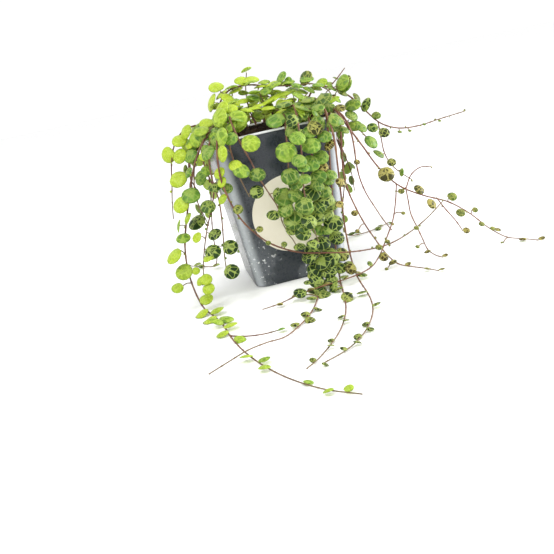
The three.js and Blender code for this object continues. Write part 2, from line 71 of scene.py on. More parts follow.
# Routes in millimetres, as in the frame's source. Each further route is a side shoot.
ROUTES = {
    "string_left_long": [
        [[-30, -16, 106], [-38, -23, 114], [-47, -29, 112], [-54, -32, 104], [-61, -36, 92], [-67, -37, 77],
        [-73, -38, 61], [-78, -40, 45], [-80, -43, 29], [-79, -48, 14], [-76, -57, 3.5], [-72, -70, 1.3],
        [-68, -95, 1.3], [-66, -125, 1.3], [-62, -155, 1.3], [-55, -185, 1.3], [-46, -210, 1.3],
        [-34, -232, 1.3], [-20, -248, 1.3]],
        [[-66, -122, 1.3], [-57, -130, 1.3], [-47, -134, 1.3], [-37, -134, 1.3]]],
    "string_left_second": [
        [[-26, -24, 106.7], [-36, -30, 117], [-46, -35, 115], [-52, -39, 105], [-52, -42, 93],
        [-50, -44, 80], [-54, -45, 68], [-60, -47, 56], [-65, -49, 44], [-69, -51, 32], [-72, -53, 19]]],
    "string_left_short": [
        [[-32, -8, 105.5], [-42, -13, 113.5], [-50, -18, 110], [-56, -21, 100], [-60, -24, 88],
        [-62, -26, 76], [-61, -28, 64], [-60, -30, 54]]],
    "string_left_high": [
        [[-28, 3, 106], [-38, -2, 116], [-50, -6, 121], [-60, -10, 119], [-68, -13, 111], [-73, -16, 99],
        [-76, -18, 86], [-79, -19, 73], [-81, -21, 62]]],
    "string_left_corner": [
        [[-36, -30, 104.3], [-41, -39, 113], [-46, -45, 110], [-49, -49, 99], [-50, -51, 87], [-49, -53, 73],
        [-50, -54, 60], [-52, -55, 47], [-54, -56, 35], [-55, -57, 25]]],
    "string_front_left": [
        [[-22, -24, 107], [-26, -35, 119], [-29, -46, 124], [-29, -53, 118], [-27, -57, 107],
        [-23, -58, 94], [-20, -59, 82], [-16, -60, 71], [-12, -61, 60], [-11, -61, 49], [-8, -61, 39]]],
    "string_front_left_short": [
        [[-27, -33, 105], [-31, -40, 114.5], [-33, -47, 116.5], [-34, -53, 110], [-34, -56, 99],
        [-33, -57, 88], [-31, -58, 79], [-29, -59, 71]]],
    "string_front_crossing": [
        [[-33, -38, 104.3], [-37, -46, 114.5], [-41, -54, 112], [-44, -58, 101], [-45, -60, 86],
        [-42, -60, 69], [-37, -61, 56], [-31, -62, 47], [-24, -63, 39], [-14, -65, 32], [-3, -67, 27],
        [10, -69, 24], [24, -70, 21], [40, -71, 19], [56, -71, 19], [71, -71, 23], [87, -69, 30],
        [101, -66, 38]]],
    "string_front_middle": [
        [[6, -24, 107], [7, -36, 116], [7, -47, 117.5], [5, -54, 108], [3, -57, 96], [1, -58, 84],
        [-1, -59, 72], [-2, -59, 62], [-1, -60, 54]]],
    "string_centre_outer": [
        [[13, -14, 107.6], [15, -30, 119], [15, -44, 122.5], [14, -55, 117], [12, -63, 106], [10, -67, 93],
        [8, -69, 80], [6, -70, 67], [6, -71, 54], [7, -73, 42], [8, -75, 33]]],
    "string_centre_left_long": [
        [[20, -20, 107], [22, -33, 116], [23, -46, 117], [22, -53, 108], [20, -56, 96], [18, -57, 84],
        [16, -58, 70], [14, -59, 56], [13, -60, 42], [12, -61, 30], [9, -62, 18], [6, -64, 8],
        [3, -70, 2.4], [0, -80, 1.3], [-5, -97, 1.3], [-13, -116, 1.3], [-24, -134, 1.3],
        [-37, -149, 1.6], [-49, -158, 4.4], [-61, -165, 5.4], [-73, -171, 4], [-85, -175, 1.6]]],
    "string_centre_long": [
        [[31, -20, 106], [34, -32, 115], [35, -43, 116.5], [35, -50, 110], [33, -53, 98], [31, -54, 84],
        [29, -55, 70], [27, -56, 56], [25, -57, 42], [23, -58, 28], [21, -60, 14], [20, -64, 5],
        [18, -72, 1.5], [15, -88, 1.3], [11, -108, 1.3], [6, -128, 1.3], [-1, -148, 1.3],
        [-10, -167, 1.3], [-20, -183, 1.3], [-29, -195, 1.3], [-36, -202, 1.3]]],
    "string_centre_right_long": [
        [[25, -8, 107.2], [30, -26, 119], [32, -40, 123], [33, -52, 119], [34, -60, 108], [34, -64, 96],
        [33, -65, 82], [32, -65, 68], [31, -65, 54], [30, -65, 40], [30, -64, 26], [30, -66, 13],
        [30, -72, 4], [29, -84, 1.4], [27, -102, 1.3], [24, -122, 1.3], [19, -142, 1.3], [11, -161, 1.3],
        [1, -178, 1.3], [-12, -192, 1.3], [-27, -201, 1.3]]],
    "string_right_long": [
        [[30, -6, 106], [37, -15, 116], [42, -23, 119], [47, -29, 112], [53, -33, 99], [60, -36, 84],
        [68, -39, 67], [80, -42, 51], [95, -46, 41], [111, -50, 33], [124, -54, 22], [135, -60, 9],
        [143, -68, 2.2], [150, -79, 1.3], [155, -91, 1.3]],
        [[78, -42, 53], [73, -49, 42], [67, -55, 31], [59, -60, 21], [51, -65, 12], [42, -72, 7],
        [32, -77, 5.6], [20, -80, 5.2], [8, -82, 5.2], [-4, -84, 5.2], [-16, -86, 4.2], [-28, -88, 2.6],
        [-40, -88, 1.6]],
        [[84, -43, 49], [82, -50, 41], [81, -54, 32], [83, -57, 22], [85, -59, 13], [87, -61, 5],
        [90, -66, 1.6], [92, -74, 1.3]],
        [[104, -48, 37], [106, -55, 30], [110, -62, 21], [112, -67, 14]],
        [[84, -43, 48], [89, -44, 57], [96, -45, 61], [104, -45, 60]]],
    "string_right_arching": [
        [[27, 4, 106.4], [34, -1, 120], [42, -5, 129], [53, -8, 126], [64, -10, 118], [73, -12, 106],
        [83, -14, 94], [95, -16, 88], [110, -17, 86.5], [127, -18, 88], [145, -20, 89.5]],
        [[81, -14, 96], [80, -18, 84], [79, -23, 74], [81, -28, 65], [86, -32, 58], [92, -36, 52]],
        [[51, -8, 127], [58, -8, 132], [65, -8, 138]]],
    "string_right_bundle": [
        [[33, 0, 105.2], [42, -9, 114.5], [50, -16, 110], [57, -20, 101], [65, -22, 92], [71, -21, 83]]],
    "string_right_thin": [
        [[36, -24, 104.3], [43, -33, 114], [49, -38, 108], [52, -41, 97], [52, -43, 86], [51, -45, 74],
        [51, -47, 64], [53, -49, 53], [57, -51, 42], [61, -53, 32], [65, -55, 24]]],
    "string_right_wall": [
        [[37, -32, 104.3], [42, -42, 114], [44, -50, 109], [42, -53, 98], [40, -53, 84], [39, -52, 70],
        [40, -52, 58], [43, -53, 45], [47, -55, 32], [52, -57, 20], [57, -60, 9], [62, -66, 2.4],
        [68, -77, 1.3], [74, -90, 1.3], [78, -101, 1.3]]],
    "shoot_top_arch": [
        [[-24, 8, 107], [-29, 3, 120], [-28, -1, 133], [-20, -4, 140], [-8, -7, 141], [8, -11, 137],
        [24, -16, 134], [38, -20, 132], [46, -24, 126]]],
    "shoot_top_upright": [
        [[-4, 10, 108.2], [-7, 9, 122], [-7, 7, 137], [-4, 6, 149]]],
}

# How each string grows, in millimetres: leaf radius at the soil and at the tip, spacing along the stem,
# bare length at the soil, share of leaves missing towards the tip, tone at the soil and at the tip
# (0 lime, 1 dark with pale veins), and painted backlight (0 green, 1 brown-green with yellow veins).
GROWTH = {
    "string_left_long": (6.8, 3.0, 9, 14, 0.45, 0.05, 0.30, 0.0),
    "string_left_second": (5.6, 4.8, 9, 18, 0.1, 0.25, 0.85, 0.0),
    "string_left_short": (6.4, 4.8, 8, 14, 0.1, 0.25, 0.75, 0.0),
    "string_left_high": (6.8, 6.6, 9, 42, 0.0, 0.02, 0.12, 0.0),
    "string_left_corner": (5.4, 5.2, 9, 18, 0.1, 0.45, 1.0, 0.0),
    "string_front_left": (7.0, 3.6, 10, 12, 0.3, 0.10, 0.80, 0.0),
    "string_front_left_short": (6.2, 5.4, 8, 16, 0.0, 0.15, 0.45, 0.0),
    "string_front_crossing": (4.4, 2.6, 12, 40, 0.45, 0.50, 0.85, 0.5),
    "string_front_middle": (7.4, 6.2, 9, 18, 0.0, 0.45, 0.75, 0.0),
    "string_centre_outer": (7.2, 5.4, 9, 20, 0.0, 0.40, 1.0, 0.0),
    "string_centre_left_long": (7.0, 1.8, 9, 20, 0.5, 0.45, 1.0, 0.3),
    "string_centre_long": (6.2, 1.8, 9, 20, 0.5, 0.55, 1.0, 0.3),
    "string_centre_right_long": (6.6, 2.2, 9, 22, 0.4, 0.50, 1.0, 0.2),
    "string_right_long": (5.4, 2.6, 12, 24, 0.3, 0.70, 0.9, 1.0),
    "string_right_arching": (6.2, 1.5, 11, 10, 0.3, 0.30, 0.9, 0.7),
    "string_right_bundle": (5.8, 5.0, 9, 14, 0.1, 0.45, 0.8, 0.7),
    "string_right_thin": (2.6, 1.5, 13, 30, 0.2, 0.50, 0.7, 1.0),
    "string_right_wall": (5.0, 2.4, 10, 18, 0.2, 0.75, 1.0, 0.8),
    "shoot_top_arch": (6.2, 5.2, 8, 12, 0.0, 0.0, 0.45, 0.0),
    "shoot_top_upright": (5.0, 5.6, 8, 12, 0.0, 0.0, 0.05, 0.0),
}

# Strings over the sides and back: degrees from +X, height of the tip, length on the surface,
# sideways sway, and the leaf radius at the soil and at the tip, all in millimetres.
OVER_RIM = {
    "string_side_right_1": (12, 46, 0, 6, 6, 4),
    "string_side_right_2": (32, 1.3, 46, -7, 6, 3),
    "string_corner_right": (50, 30, 0, 5, 6.4, 4.2),
    "string_back_right_1": (66, 1.3, 70, 6, 6.4, 2.6),
    "string_back_right_2": (79, 58, 0, -5, 6.6, 5),
    "string_back_middle": (92, 22, 0, 5, 6.6, 4),
    "string_back_left_1": (105, 1.3, 88, -6, 6.6, 2.4),
    "string_back_left_2": (118, 64, 0, 6, 6.2, 5),
    "string_corner_left": (132, 1.3, 36, -6, 6.4, 3.2),
    "string_side_left_1": (148, 40, 0, 5, 6.4, 4.4),
    "string_side_left_2": (163, 70, 0, 4, 6.6, 5),
}
OVER_RIM_GROWTH = (9, 16, 0.25, 0.15, 0.85, 0.1)

# Short leafy shoots on the soil: x, y, lean direction in degrees, height, in millimetres.
CROWN_SHOOTS = [
    (-34, -30, 215, 13), (-14, -14, 200, 17), (17, -32, 290, 13), (0, -6, 265, 21), (-13, 18, 120, 16),
    (4, 26, 80, 15), (18, 12, 30, 17), (22, 30, 60, 12), (-28, 28, 140, 12), (8, 4, 300, 24),
    (36, 16, 10, 10),
]
CROWN_GROWTH = (6.6, 6.2, 4.5, 3, 0.0, 0.05, 0.30, 0.0)


# Leaves placed one by one on the strings in front: centre x, y, z and radius in millimetres, the compass turn
# and tilt of the way the leaf faces in degrees, then its tone and painted backlight. The leaves were picked
# out by eye, and a separate script worked these rows out from them. Leaves under "crown" go to the nearest
# crown shoot.
LAID_LEAVES = {
    "shoot_top_arch": [
        (-28, 4, 144, 5.4, -90, 52, 0, 0), (-34, 3, 134, 6.5, -167, 26, 0.02, 0),
        (-4, -5, 144, 6.1, -88, 70, 0, 0), (-16, -3, 139, 5.6, -153, 72, 0.05, 0),
        (2, -8, 138, 5, -94, 87, 0.03, 0), (9, -9, 138, 5.5, -178, 73, 0.03, 0),
        (17, -10, 141, 4.9, -154, 39, 0.35, 0), (21, -12, 137, 3.6, -141, 20, 0.3, 0),
        (34, -13, 137, 5.3, -139, 26, 0.62, 0.5), (44, -17, 132, 4, -114, 50, 0.2, 0),
        (49, -18, 129, 3.4, -43, 39, 0.25, 0), (57, -22, 129, 6, -149, 31, 0.3, 0.2),
        (61, -19, 129, 4.6, -157, 35, 0.75, 0.5), (47, -28, 119, 4.8, -156, 66, 0.2, 0),
        (42, -28, 122, 3.9, -42, 35, 0.3, 0),
    ],
    "crown": [
        (-23, -10, 135, 4.9, -56, 44, 0.05, 0), (-14, -12, 131, 4.4, -92, 72, 0, 0),
        (-7, -8, 131, 3.4, -77, 49, 0.05, 0), (1, -6, 132, 5.4, -70, 61, 0.08, 0),
        (7, -16, 128, 7.1, -167, 74, 0, 0), (2, -20, 127, 5.3, -178, 75, 0.02, 0),
        (15, -14, 130, 7.1, -95, 85, 0.15, 0), (23, -12, 131, 5.4, -88, 79, 0.25, 0),
        (13, -24, 124, 7, -172, 82, 0.05, 0), (26, -26, 125, 7.4, -24, 47, 0.3, 0),
        (28, -16, 129, 5.3, -40, 66, 0.2, 0), (34, -18, 129, 4.4, -42, 52, 0.3, 0),
        (1, -26, 123, 6.1, -15, 83, 0.1, 0), (-9, -26, 125, 5.2, -24, 83, 0.1, 0),
        (8, -32, 119, 4.8, -152, 75, 0.1, 0), (-4, -22, 126, 4.8, -51, 87, 0.05, 0),
        (13, -46, 116, 7.2, -102, 41, 0.3, 0), (20, -49, 116, 5.4, -41, 23, 0.25, 0),
        (7, -45, 115, 5.1, -90, 75, 0.25, 0), (29, -48, 114, 4.7, -35, 19, 0.35, 0),
        (12, -48, 112, 4.7, -115, -27, 0.3, 0), (-24, -46, 122, 6.3, -93, 33, 0.22, 0),
        (-36, -45, 125, 6.3, -138, 23, 0.2, 0), (-32, -36, 130, 5.4, -139, 33, 0.1, 0),
        (-26, -34, 129, 5.1, -80, 59, 0.1, 0), (-43, -20, 122, 4.8, -95, 52, 0.08, 0),
        (-14, -30, 125, 4.8, -24, 68, 0.12, 0), (35, -24, 121, 4.9, -36, 49, 0.35, 0),
        (12, -2, 132, 5.8, -59, 79, 0.1, 0), (-21, -16, 131, 4.9, -47, 65, 0.05, 0),
    ],
    "string_front_left_short": [
        (-39, -56, 113, 6.6, -152, 19, 0.25, 0), (-41, -61, 103, 5.3, -151, 11, 0.12, 0),
        (-29, -37, 105, 5.9, -155, 15, 0.03, 0), (-34, -62, 94, 4.3, -91, 41, 0.05, 0),
        (-31, -64, 90, 5.6, -71, 37, 0.3, 0), (-24, -63, 74, 4.6, -93, 33, 0.88, 0),
    ],
    "string_front_left": [
        (-21, -62, 106, 6.1, -92, 36, 0.2, 0), (-21, -62, 85, 5.3, -91, 41, 0.62, 0),
        (-12, -66, 71, 3.4, -153, 35, 0.9, 0), (-17, -67, 57, 4.3, -86, 51, 0.8, 0),
        (-6, -64, 44, 4.4, -91, 41, 0.82, 0), (-4, -68, 32, 4, -93, 69, 0.8, 0),
    ],
    "string_left_high": [
        (-49, -11, 117, 6.2, -134, 31, 0.45, 0), (-58, -16, 119, 5.2, -143, 30, 0.12, 0),
        (-66, -19, 104, 5.3, -122, 28, 0.1, 0), (-71, -23, 89, 6.3, -107, 40, 0.08, 0),
    ],
    "string_left_short": [
        (-57, -20, 111, 4.3, -142, 40, 0.1, 0), (-59, -24, 103, 5.2, -126, 35, 0.45, 0),
        (-56, -28, 87, 5.2, -136, 26, 0.48, 0), (-66, -32, 58, 6.3, -126, 50, 0.78, 0),
    ],
    "string_left_corner": [
        (-49, -52, 105, 5.3, -137, 39, 0.5, 0), (-45, -57, 91, 4, -126, 35, 0.05, 0),
        (-45, -59, 85, 3.6, -134, 31, 0.1, 0), (-50, -55, 82, 4, -95, 52, 0.72, 0),
        (-42, -57, 80, 3.7, -77, 33, 0.62, 0), (-47, -59, 74, 3.7, -142, 40, 0.15, 0),
        (-49, -59, 41, 5.1, -93, 33, 0.95, 0), (-52, -62, 25, 5.1, -93, 33, 0.95, 0),
    ],
    "string_left_second": [
        (-51, -46, 103, 4, -111, 45, 0.1, 0), (-52, -46, 93, 3.6, -71, 37, 0.3, 0),
        (-57, -51, 70, 5.1, -96, 41, 0.68, 0), (-57, -53, 51, 4.6, -114, 50, 0.92, 0),
        (-69, -50, 51, 3.7, -131, 37, 0.05, 0), (-61, -56, 40, 5.4, -96, 41, 0.78, 0),
        (-65, -57, 37, 3.8, -131, 63, 0.12, 0), (-70, -58, 23, 4.1, -91, 41, 0.1, 0),
        (-70, -61, 17, 4.1, -107, 40, 0.12, 0), (-74, -55, 22, 3.4, -142, 40, 0.1, 0),
    ],
    "string_left_long": [
        (-74, -42, 74, 5.8, -120, 32, 0.08, 0), (-66, -44, 79, 6.1, -91, 41, 0.42, 0),
        (-72, -43, 64, 4.1, -161, 35, 0.15, 0), (-78, -46, 52, 4.8, -95, 57, 0.3, 0),
        (-87, -44, 41, 6.2, -142, 49, 0.1, 0), (-83, -46, 29, 5.9, -107, 40, 0.2, 0),
        (-75, -48, 28, 2.8, -91, 41, 0.1, 0), (-79, -42, 60, 4.5, -179, 20, 0.3, 0),
        (-90, -50, 20, 4.1, -95, 52, 0.15, 0), (-64, -42, 94, 3.7, -153, 35, 0.5, 0),
    ],
    "string_front_crossing": [
        (-39, -66, 66, 3.3, -93, 33, 0.62, 0.5), (-28, -68, 50, 2.3, -91, 41, 0.6, 0.6),
        (-24, -66, 39, 1.7, -91, 41, 0.6, 0.6), (-14, -68, 36, 2, -91, 41, 0.6, 0.4),
        (92, -69, 39, 3.8, -61, 32, 0.6, 1), (77, -73, 26, 1.8, -86, 51, 0.5, 0.9),
        (48, -76, 20, 2.4, -86, 51, 0.6, 0.8),
    ],
    "string_front_middle": [
        (1, -62, 95, 6.9, -95, 27, 0.3, 0), (0, -64, 79, 6, -93, 33, 0.6, 0),
        (-6, -61, 66, 7, -91, 38, 0.58, 0), (1, -64, 66, 5.3, -77, 33, 0.6, 0),
        (-3, -65, 50, 7.4, -91, 38, 0.66, 0), (-8, -65, 58, 5.3, -116, 35, 0.62, 0),
        (3, -64, 74, 5.3, -103, 41, 0.62, 0),
    ],
    "string_centre_left_long": [
        (18, -62, 96, 6.6, -91, 41, 0.35, 0), (16, -60, 84, 6.2, -91, 38, 0.4, 0),
        (24, -58, 106, 5.3, -77, 33, 0.78, 0.6), (12, -63, 65, 6.4, -91, 41, 0.75, 0),
        (11, -65, 48, 6.1, -91, 41, 0.78, 0), (12, -63, 39, 4.4, -77, 33, 0.5, 0),
        (12, -65, 30, 5.8, -88, 46, 0.92, 0), (4, -67, 13, 5.8, -91, 41, 0.92, 0),
        (2, -72, 7, 5.1, -91, 41, 1, 0), (-13, -87, 6, 4.3, -80, 59, 0.95, 0),
        (-4, -71, 7, 2.7, -90, 75, 0.9, 0), (17, -65, 38, 4.1, -86, 51, 0.6, 0),
        (17, -65, 69, 4.7, -66, 40, 0.6, 0), (19, -61, 74, 5.7, -100, 41, 0.55, 0),
        (15, -65, 55, 5.4, -91, 41, 0.72, 0), (9, -68, 17, 5.8, -107, 40, 0.9, 0),
        (1, -67, 23, 4.8, -110, 39, 0.85, 0), (5, -65, 27, 5.5, -111, 38, 0.85, 0),
        (12, -70, 11, 5.5, -100, 41, 0.9, 0), (20, -57, 104, 4.7, -96, 41, 0.4, 0),
        (1, -83, 2, 4.3, -91, 41, 0.9, 0),
    ],
    "string_centre_outer": [
        (7, -76, 77, 3.8, -91, 41, 0.5, 0), (3, -80, 34, 4.2, -86, 51, 0.85, 0),
        (4, -73, 58, 5.6, -88, 46, 0.55, 0), (8, -74, 84, 3.9, -86, 51, 0.4, 0),
        (0, -75, 46, 4.6, -86, 51, 0.7, 0), (9, -68, 103, 5.2, -89, 40, 0.35, 0),
        (6, -74, 89, 4.9, -88, 40, 0.5, 0), (3, -74, 60, 5.9, -111, 39, 0.66, 0),
        (-1, -75, 42, 5.3, -94, 41, 0.76, 0), (4, -77, 49, 5.3, -80, 36, 0.8, 0),
    ],
    "string_centre_long": [
        (21, -62, 58, 6.4, -75, 35, 0.86, 0), (26, -57, 71, 5.4, -66, 40, 0.55, 0),
        (23, -63, 41, 6.5, -91, 38, 0.92, 0), (16, -65, 19, 6.9, -91, 41, 0.86, 0),
        (25, -63, 18, 4.8, -79, 32, 0.88, 0.4), (12, -74, 5, 4.4, -86, 51, 0.92, 0),
        (10, -84, 3, 4.7, -165, 35, 0.9, 0), (12, -111, 3, 3.8, -88, 46, 0.9, 0.3),
        (24, -58, 86, 5.4, -101, 41, 0.42, 0), (20, -60, 48, 5.5, -81, 37, 0.72, 0),
        (24, -61, 30, 5.2, -82, 37, 0.85, 0), (21, -61, 64, 5.4, -84, 39, 0.6, 0),
        (25, -59, 53, 4.4, -86, 39, 0.75, 0), (29, -59, 99, 4.7, -98, 41, 0.5, 0),
        (21, -67, 10, 4.1, -91, 41, 0.85, 0), (31, -60, 93, 4.1, -140, 40, 1, 1),
        (25, -57, 79, 3.5, -79, 32, 0.96, 1), (29, -59, 73, 4.1, -66, 40, 0.5, 0.1),
    ],
    "string_centre_right_long": [
        (32, -69, 68, 3.7, -66, 40, 0.96, 1), (28, -70, 54, 2.8, -88, 46, 0.9, 1),
        (27, -72, 9, 3.8, -93, 33, 0.9, 0.8),
    ],
    "string_right_thin": [
        (50, -51, 76, 2.1, -91, 41, 1, 1),
    ],
    "string_right_arching": [
        (73, -17, 110, 5.1, -158, 31, 0.8, 0), (63, -18, 112, 5.8, -114, 50, 0.3, 0.35),
        (79, -19, 101, 3.3, -91, 41, 0.4, 0.7), (75, -18, 93, 4, -91, 41, 0.72, 0),
        (82, -21, 88, 4, -91, 38, 0.92, 0.3), (73, -29, 75, 4.3, -45, 47, 0.4, 0.6),
        (81, -30, 67, 3.3, -91, 41, 0.92, 0.5), (85, -36, 59, 2.9, -167, 17, 0.4, 0.3),
        (62, -13, 126, 5.4, -151, 43, 0.4, 0.2), (52, -15, 119, 5, -36, 49, 0.3, 0),
        (113, -21, 87, 1.2, -86, 51, 0.5, 0.6), (101, -22, 85, 1.3, -86, 51, 0.5, 0.6),
        (93, -23, 86, 1.6, -80, 59, 0.5, 0.6), (125, -21, 87, 1.2, -86, 51, 0.5, 0.6),
    ],
    "string_right_bundle": [
        (60, -22, 105, 4.7, -66, 40, 0.62, 0), (60, -25, 98, 5.4, -95, 52, 0.28, 0.4),
        (64, -27, 96, 4.6, -61, 42, 0.5, 0.2), (70, -26, 84, 5.3, -61, 32, 0.5, 0),
    ],
    "string_right_long": [
        (71, -45, 62, 5.6, -93, 33, 0.7, 0.9), (91, -51, 47, 3.9, -66, 40, 0.6, 1),
        (113, -54, 37, 3.4, -91, 41, 0.4, 0.8), (116, -58, 25, 3.2, -91, 41, 0.45, 0.9),
        (126, -60, 25, 2.1, -91, 41, 0.5, 0.9), (129, -61, 14, 2.1, -86, 51, 0.5, 0.9),
        (135, -65, 10, 1.8, -86, 51, 0.5, 0.8), (137, -73, 0, 1.3, -91, 41, 0.5, 0.8),
        (74, -59, 35, 1.5, -86, 51, 0.5, 1), (79, -63, 10, 1.5, -86, 51, 0.5, 0.9),
        (40, -75, 10, 2, -66, 40, 0.7, 0.2), (79, -47, 48, 2.4, -86, 51, 0.6, 0.8),
        (57, -67, 20, 1.8, -86, 51, 0.6, 0.8),
    ],
    "string_right_wall": [
        (40, -58, 43, 2.3, -91, 41, 0.9, 1), (39, -61, 31, 1.5, -86, 51, 0.8, 1),
        (42, -57, 107, 4, -42, 31, 0.5, 0.3), (44, -56, 100, 3.7, -56, 44, 0.6, 0.2),
        (53, -67, 1, 1.3, -86, 51, 0.6, 0.8),
    ],
}
LYING = 16 * MM
PLACED_FULLNESS = 1.08
SHORTEST_PETIOLE = 0.8 * MM
PETIOLE_STEP = 1.5 * MM
STEM_STEP = 1.6 * MM
STEM_SIDES = 7
SIDE_SHOOT_GIRTH = 0.62
SIDE_SHOOT_BARE = 6
# Share of a string's joints that carry no bud, where its leaves are placed one by one.
BARE_JOINTS = 0.4


# ---------------------------------------------------------------- routes

def centripetal(points, step):
    """A smooth line through the points, with a point about every step."""
    ends = [2 * points[0] - points[1], *points, 2 * points[-1] - points[-2]]
    line = [points[0].copy()]
    for before, start, end, after in zip(ends, ends[1:], ends[2:], ends[3:]):
        gaps = [math.sqrt(max((b - a).length, 1e-9))
                for a, b in ((before, start), (start, end), (end, after))]
        first = (start - before) / gaps[0] - (end - before) / (gaps[0] + gaps[1]) + (end - start) / gaps[1]
        last = (end - start) / gaps[1] - (after - start) / (gaps[1] + gaps[2]) + (after - end) / gaps[2]
        first, last = first * gaps[1], last * gaps[1]
        count = max(2, math.ceil((end - start).length / step))
        for i in range(1, count + 1):
            t = i / count
            line.append((2 * t**3 - 3 * t**2 + 1) * start + (t**3 - 2 * t**2 + t) * first
                        + (3 * t**2 - 2 * t**3) * end + (t**3 - t**2) * last)
    return line


def soil_height(x, y):
    """Height of the soil's surface in metres."""
    reach = math.hypot(x, y) / MOUND_RADIUS
    return SOIL_TOP + (MOUND_HEIGHT * math.sqrt(1 - reach * reach) if reach < 1 else 0)


def over_rim_route(degrees, tip, run, sway):
    """A string that leaves over the rim, hangs, and may run on along the surface, in metres."""
    out = Vector((math.cos(math.radians(degrees)), math.sin(math.radians(degrees)), 0))
    side = Vector((-out.y, out.x, 0))
    corner = (RIM_WIDTH / 2 - RIM_CORNER) * math.sqrt(2) + RIM_CORNER
    rim = min(RIM_WIDTH / 2 / max(abs(out.x), abs(out.y)), corner)

    def at(reach, shift, z):
        return out * reach + side * shift + Vector((0, 0, z))

    tip, run, sway = tip * MM, run * MM, sway * MM
    start = at(0.68 * rim, 0, 0)
    start.z = soil_height(start.x, start.y) + STEM_LIFT
    points = [start, at(0.86 * rim, 0.1 * sway, POT_HEIGHT + 5 * MM),
              at(rim + 3 * MM, 0.2 * sway, POT_HEIGHT + 5 * MM)]
    drops = max(3, round((POT_HEIGHT - tip) / (14 * MM)))
    lowest = 14 * MM if run else tip
    for i in range(drops + 1):
        down = i / drops
        height = POT_HEIGHT - 4 * MM + (lowest - POT_HEIGHT + 4 * MM) * down
        points.append(at(rim + 9 * MM + 7 * MM * math.sin(2.4 * down), sway * math.sin(4.5 * down), height))
    foot = rim + 9 * MM + 7 * MM * math.sin(2.4)
    steps = math.ceil(run / (20 * MM))
    for i in range(steps + 1 if run else 0):
        along = run * i / steps
        turn = sway * (math.sin(4.5) + math.sin(along / (22 * MM)))
        points.append(at(foot + 4 * MM + along, turn, (1.3 if i else 4.5) * MM))
    return points


def crown_route(x, y, degrees, height):
    """A short shoot that rises from the soil and leans over, in metres."""
    lean = Vector((math.cos(math.radians(degrees)), math.sin(math.radians(degrees)), 0))
    base = Vector((x * MM, y * MM, soil_height(x * MM, y * MM) + STEM_LIFT))
    return [base + lean * reach * MM + Vector((0, 0, share * height * MM))
            for reach, share in ((0, 0), (1.5, 0.5), (6, 0.9), (12, 1))]


def all_strings():
    """Every string's name, routes in metres and growth."""
    for name, routes in ROUTES.items():
        lines = [[Vector(point) * MM for point in route] for route in routes]
        start = lines[0][0]
        start.z = max(start.z, soil_height(start.x, start.y) + STEM_LIFT)
        yield name, lines, GROWTH[name]
    for name, (degrees, tip, run, sway, first, last) in OVER_RIM.items():
        yield name, [over_rim_route(degrees, tip, run, sway)], (first, last, *OVER_RIM_GROWTH)
    for index, (x, y, degrees, height) in enumerate(CROWN_SHOOTS, 1):
        yield f"crown_shoot_{index}", [crown_route(x, y, degrees, height)], CROWN_GROWTH


def laid_leaves(name):
    """The rows of placed leaves that belong to a string or shoot."""
    if not name.startswith("crown_shoot"):
        return LAID_LEAVES.get(name, [])
    mine = int(name.rsplit("_", 1)[1]) - 1

    def nearest(row):
        gaps = [math.hypot(x - row[0], y - row[1]) for x, y, _, _ in CROWN_SHOOTS]
        return gaps.index(min(gaps))

    return [row for row in LAID_LEAVES["crown"] if nearest(row) == mine]


def smooth_step(low, high, value):
    share = min(max((value - low) / (high - low), 0), 1)
    return share * share * (3 - 2 * share)


def outward(point):
    """The way a leaf at this point faces: out from the pot and to the light, or up where it lies."""
    radial = Vector((point.x, point.y, 0))
    radial = radial.normalized() if radial.length > 1e-6 else Vector((0, -1, 0))
    to_light = Vector((0, -1.5, 0.3)) * smooth_step(0.02, -0.03, point.y) if point.y < 0.02 else Vector()
    lying = 1 - smooth_step(4 * MM, 22 * MM, point.z)
    over = smooth_step(POT_HEIGHT - 2 * MM, POT_HEIGHT + 12 * MM, point.z)
    up = max(lying, 0.8 * over)
    return ((radial + to_light).normalized() * (1 - up) + Vector((0, 0, 1)) * up).normalized()


# ---------------------------------------------------------------- node helpers

class Wire:
    """A number travelling between nodes. Arithmetic on it adds Math nodes."""

    def __init__(self, board, socket):
        self.board = board
        self.socket = socket

    def math(self, operation, *others):
        values = {index: other for index, other in enumerate((self, *others))}
        return self.board.wire(self.board.math_kind, {"operation": operation}, values)

    def __add__(self, other): return self.math("ADD", other)
    def __sub__(self, other): return self.math("SUBTRACT", other)
    def __mul__(self, other): return self.math("MULTIPLY", other)
    def __truediv__(self, other): return self.math("DIVIDE", other)
    def __mod__(self, other): return self.math("FLOORED_MODULO", other)
    def __radd__(self, other): return self + other
    def __rmul__(self, other): return self * other
    def __rsub__(self, other): return (self * -1) + other
    def __rtruediv__(self, other): return self.math("POWER", -1) * other
    def __abs__(self): return self.math("ABSOLUTE")
    def higher(self, other): return self.math("MAXIMUM", other)
    def root(self): return self.math("SQRT")

    def step(self, low, high, start=0.0, end=1.0):
        """Eases from start to end as the value goes from low to high."""
        return self.board.wire("ShaderNodeMapRange", {"interpolation_type": "SMOOTHSTEP"},
                               {"Value": self, "From Min": low, "From Max": high,
                                "To Min": start, "To Max": end})


class Board:
    """Adds nodes to one tree."""

    math_kind = "ShaderNodeMath"

    def __init__(self, tree):
        self.tree = tree

    def node(self, kind, settings=None, values=None):
        node = self.tree.nodes.new(kind)
        for key, value in (settings or {}).items():
            setattr(node, key, value)
        for key, value in (values or {}).items():
            self.feed(self.pick(node.inputs, key), value)
        return node

    def wire(self, kind, settings=None, values=None, output=0):
        return Wire(self, self.pick(self.node(kind, settings, values).outputs, output))

    @staticmethod
    def pick(sockets, key):
        usable = [socket for socket in sockets if socket.enabled]
        if isinstance(key, int):
            return usable[key]
        return next(socket for socket in usable if socket.name == key)

    def feed(self, socket, value):
        if isinstance(value, Wire):
            self.tree.links.new(value.socket, socket)
        else:
            socket.default_value = value


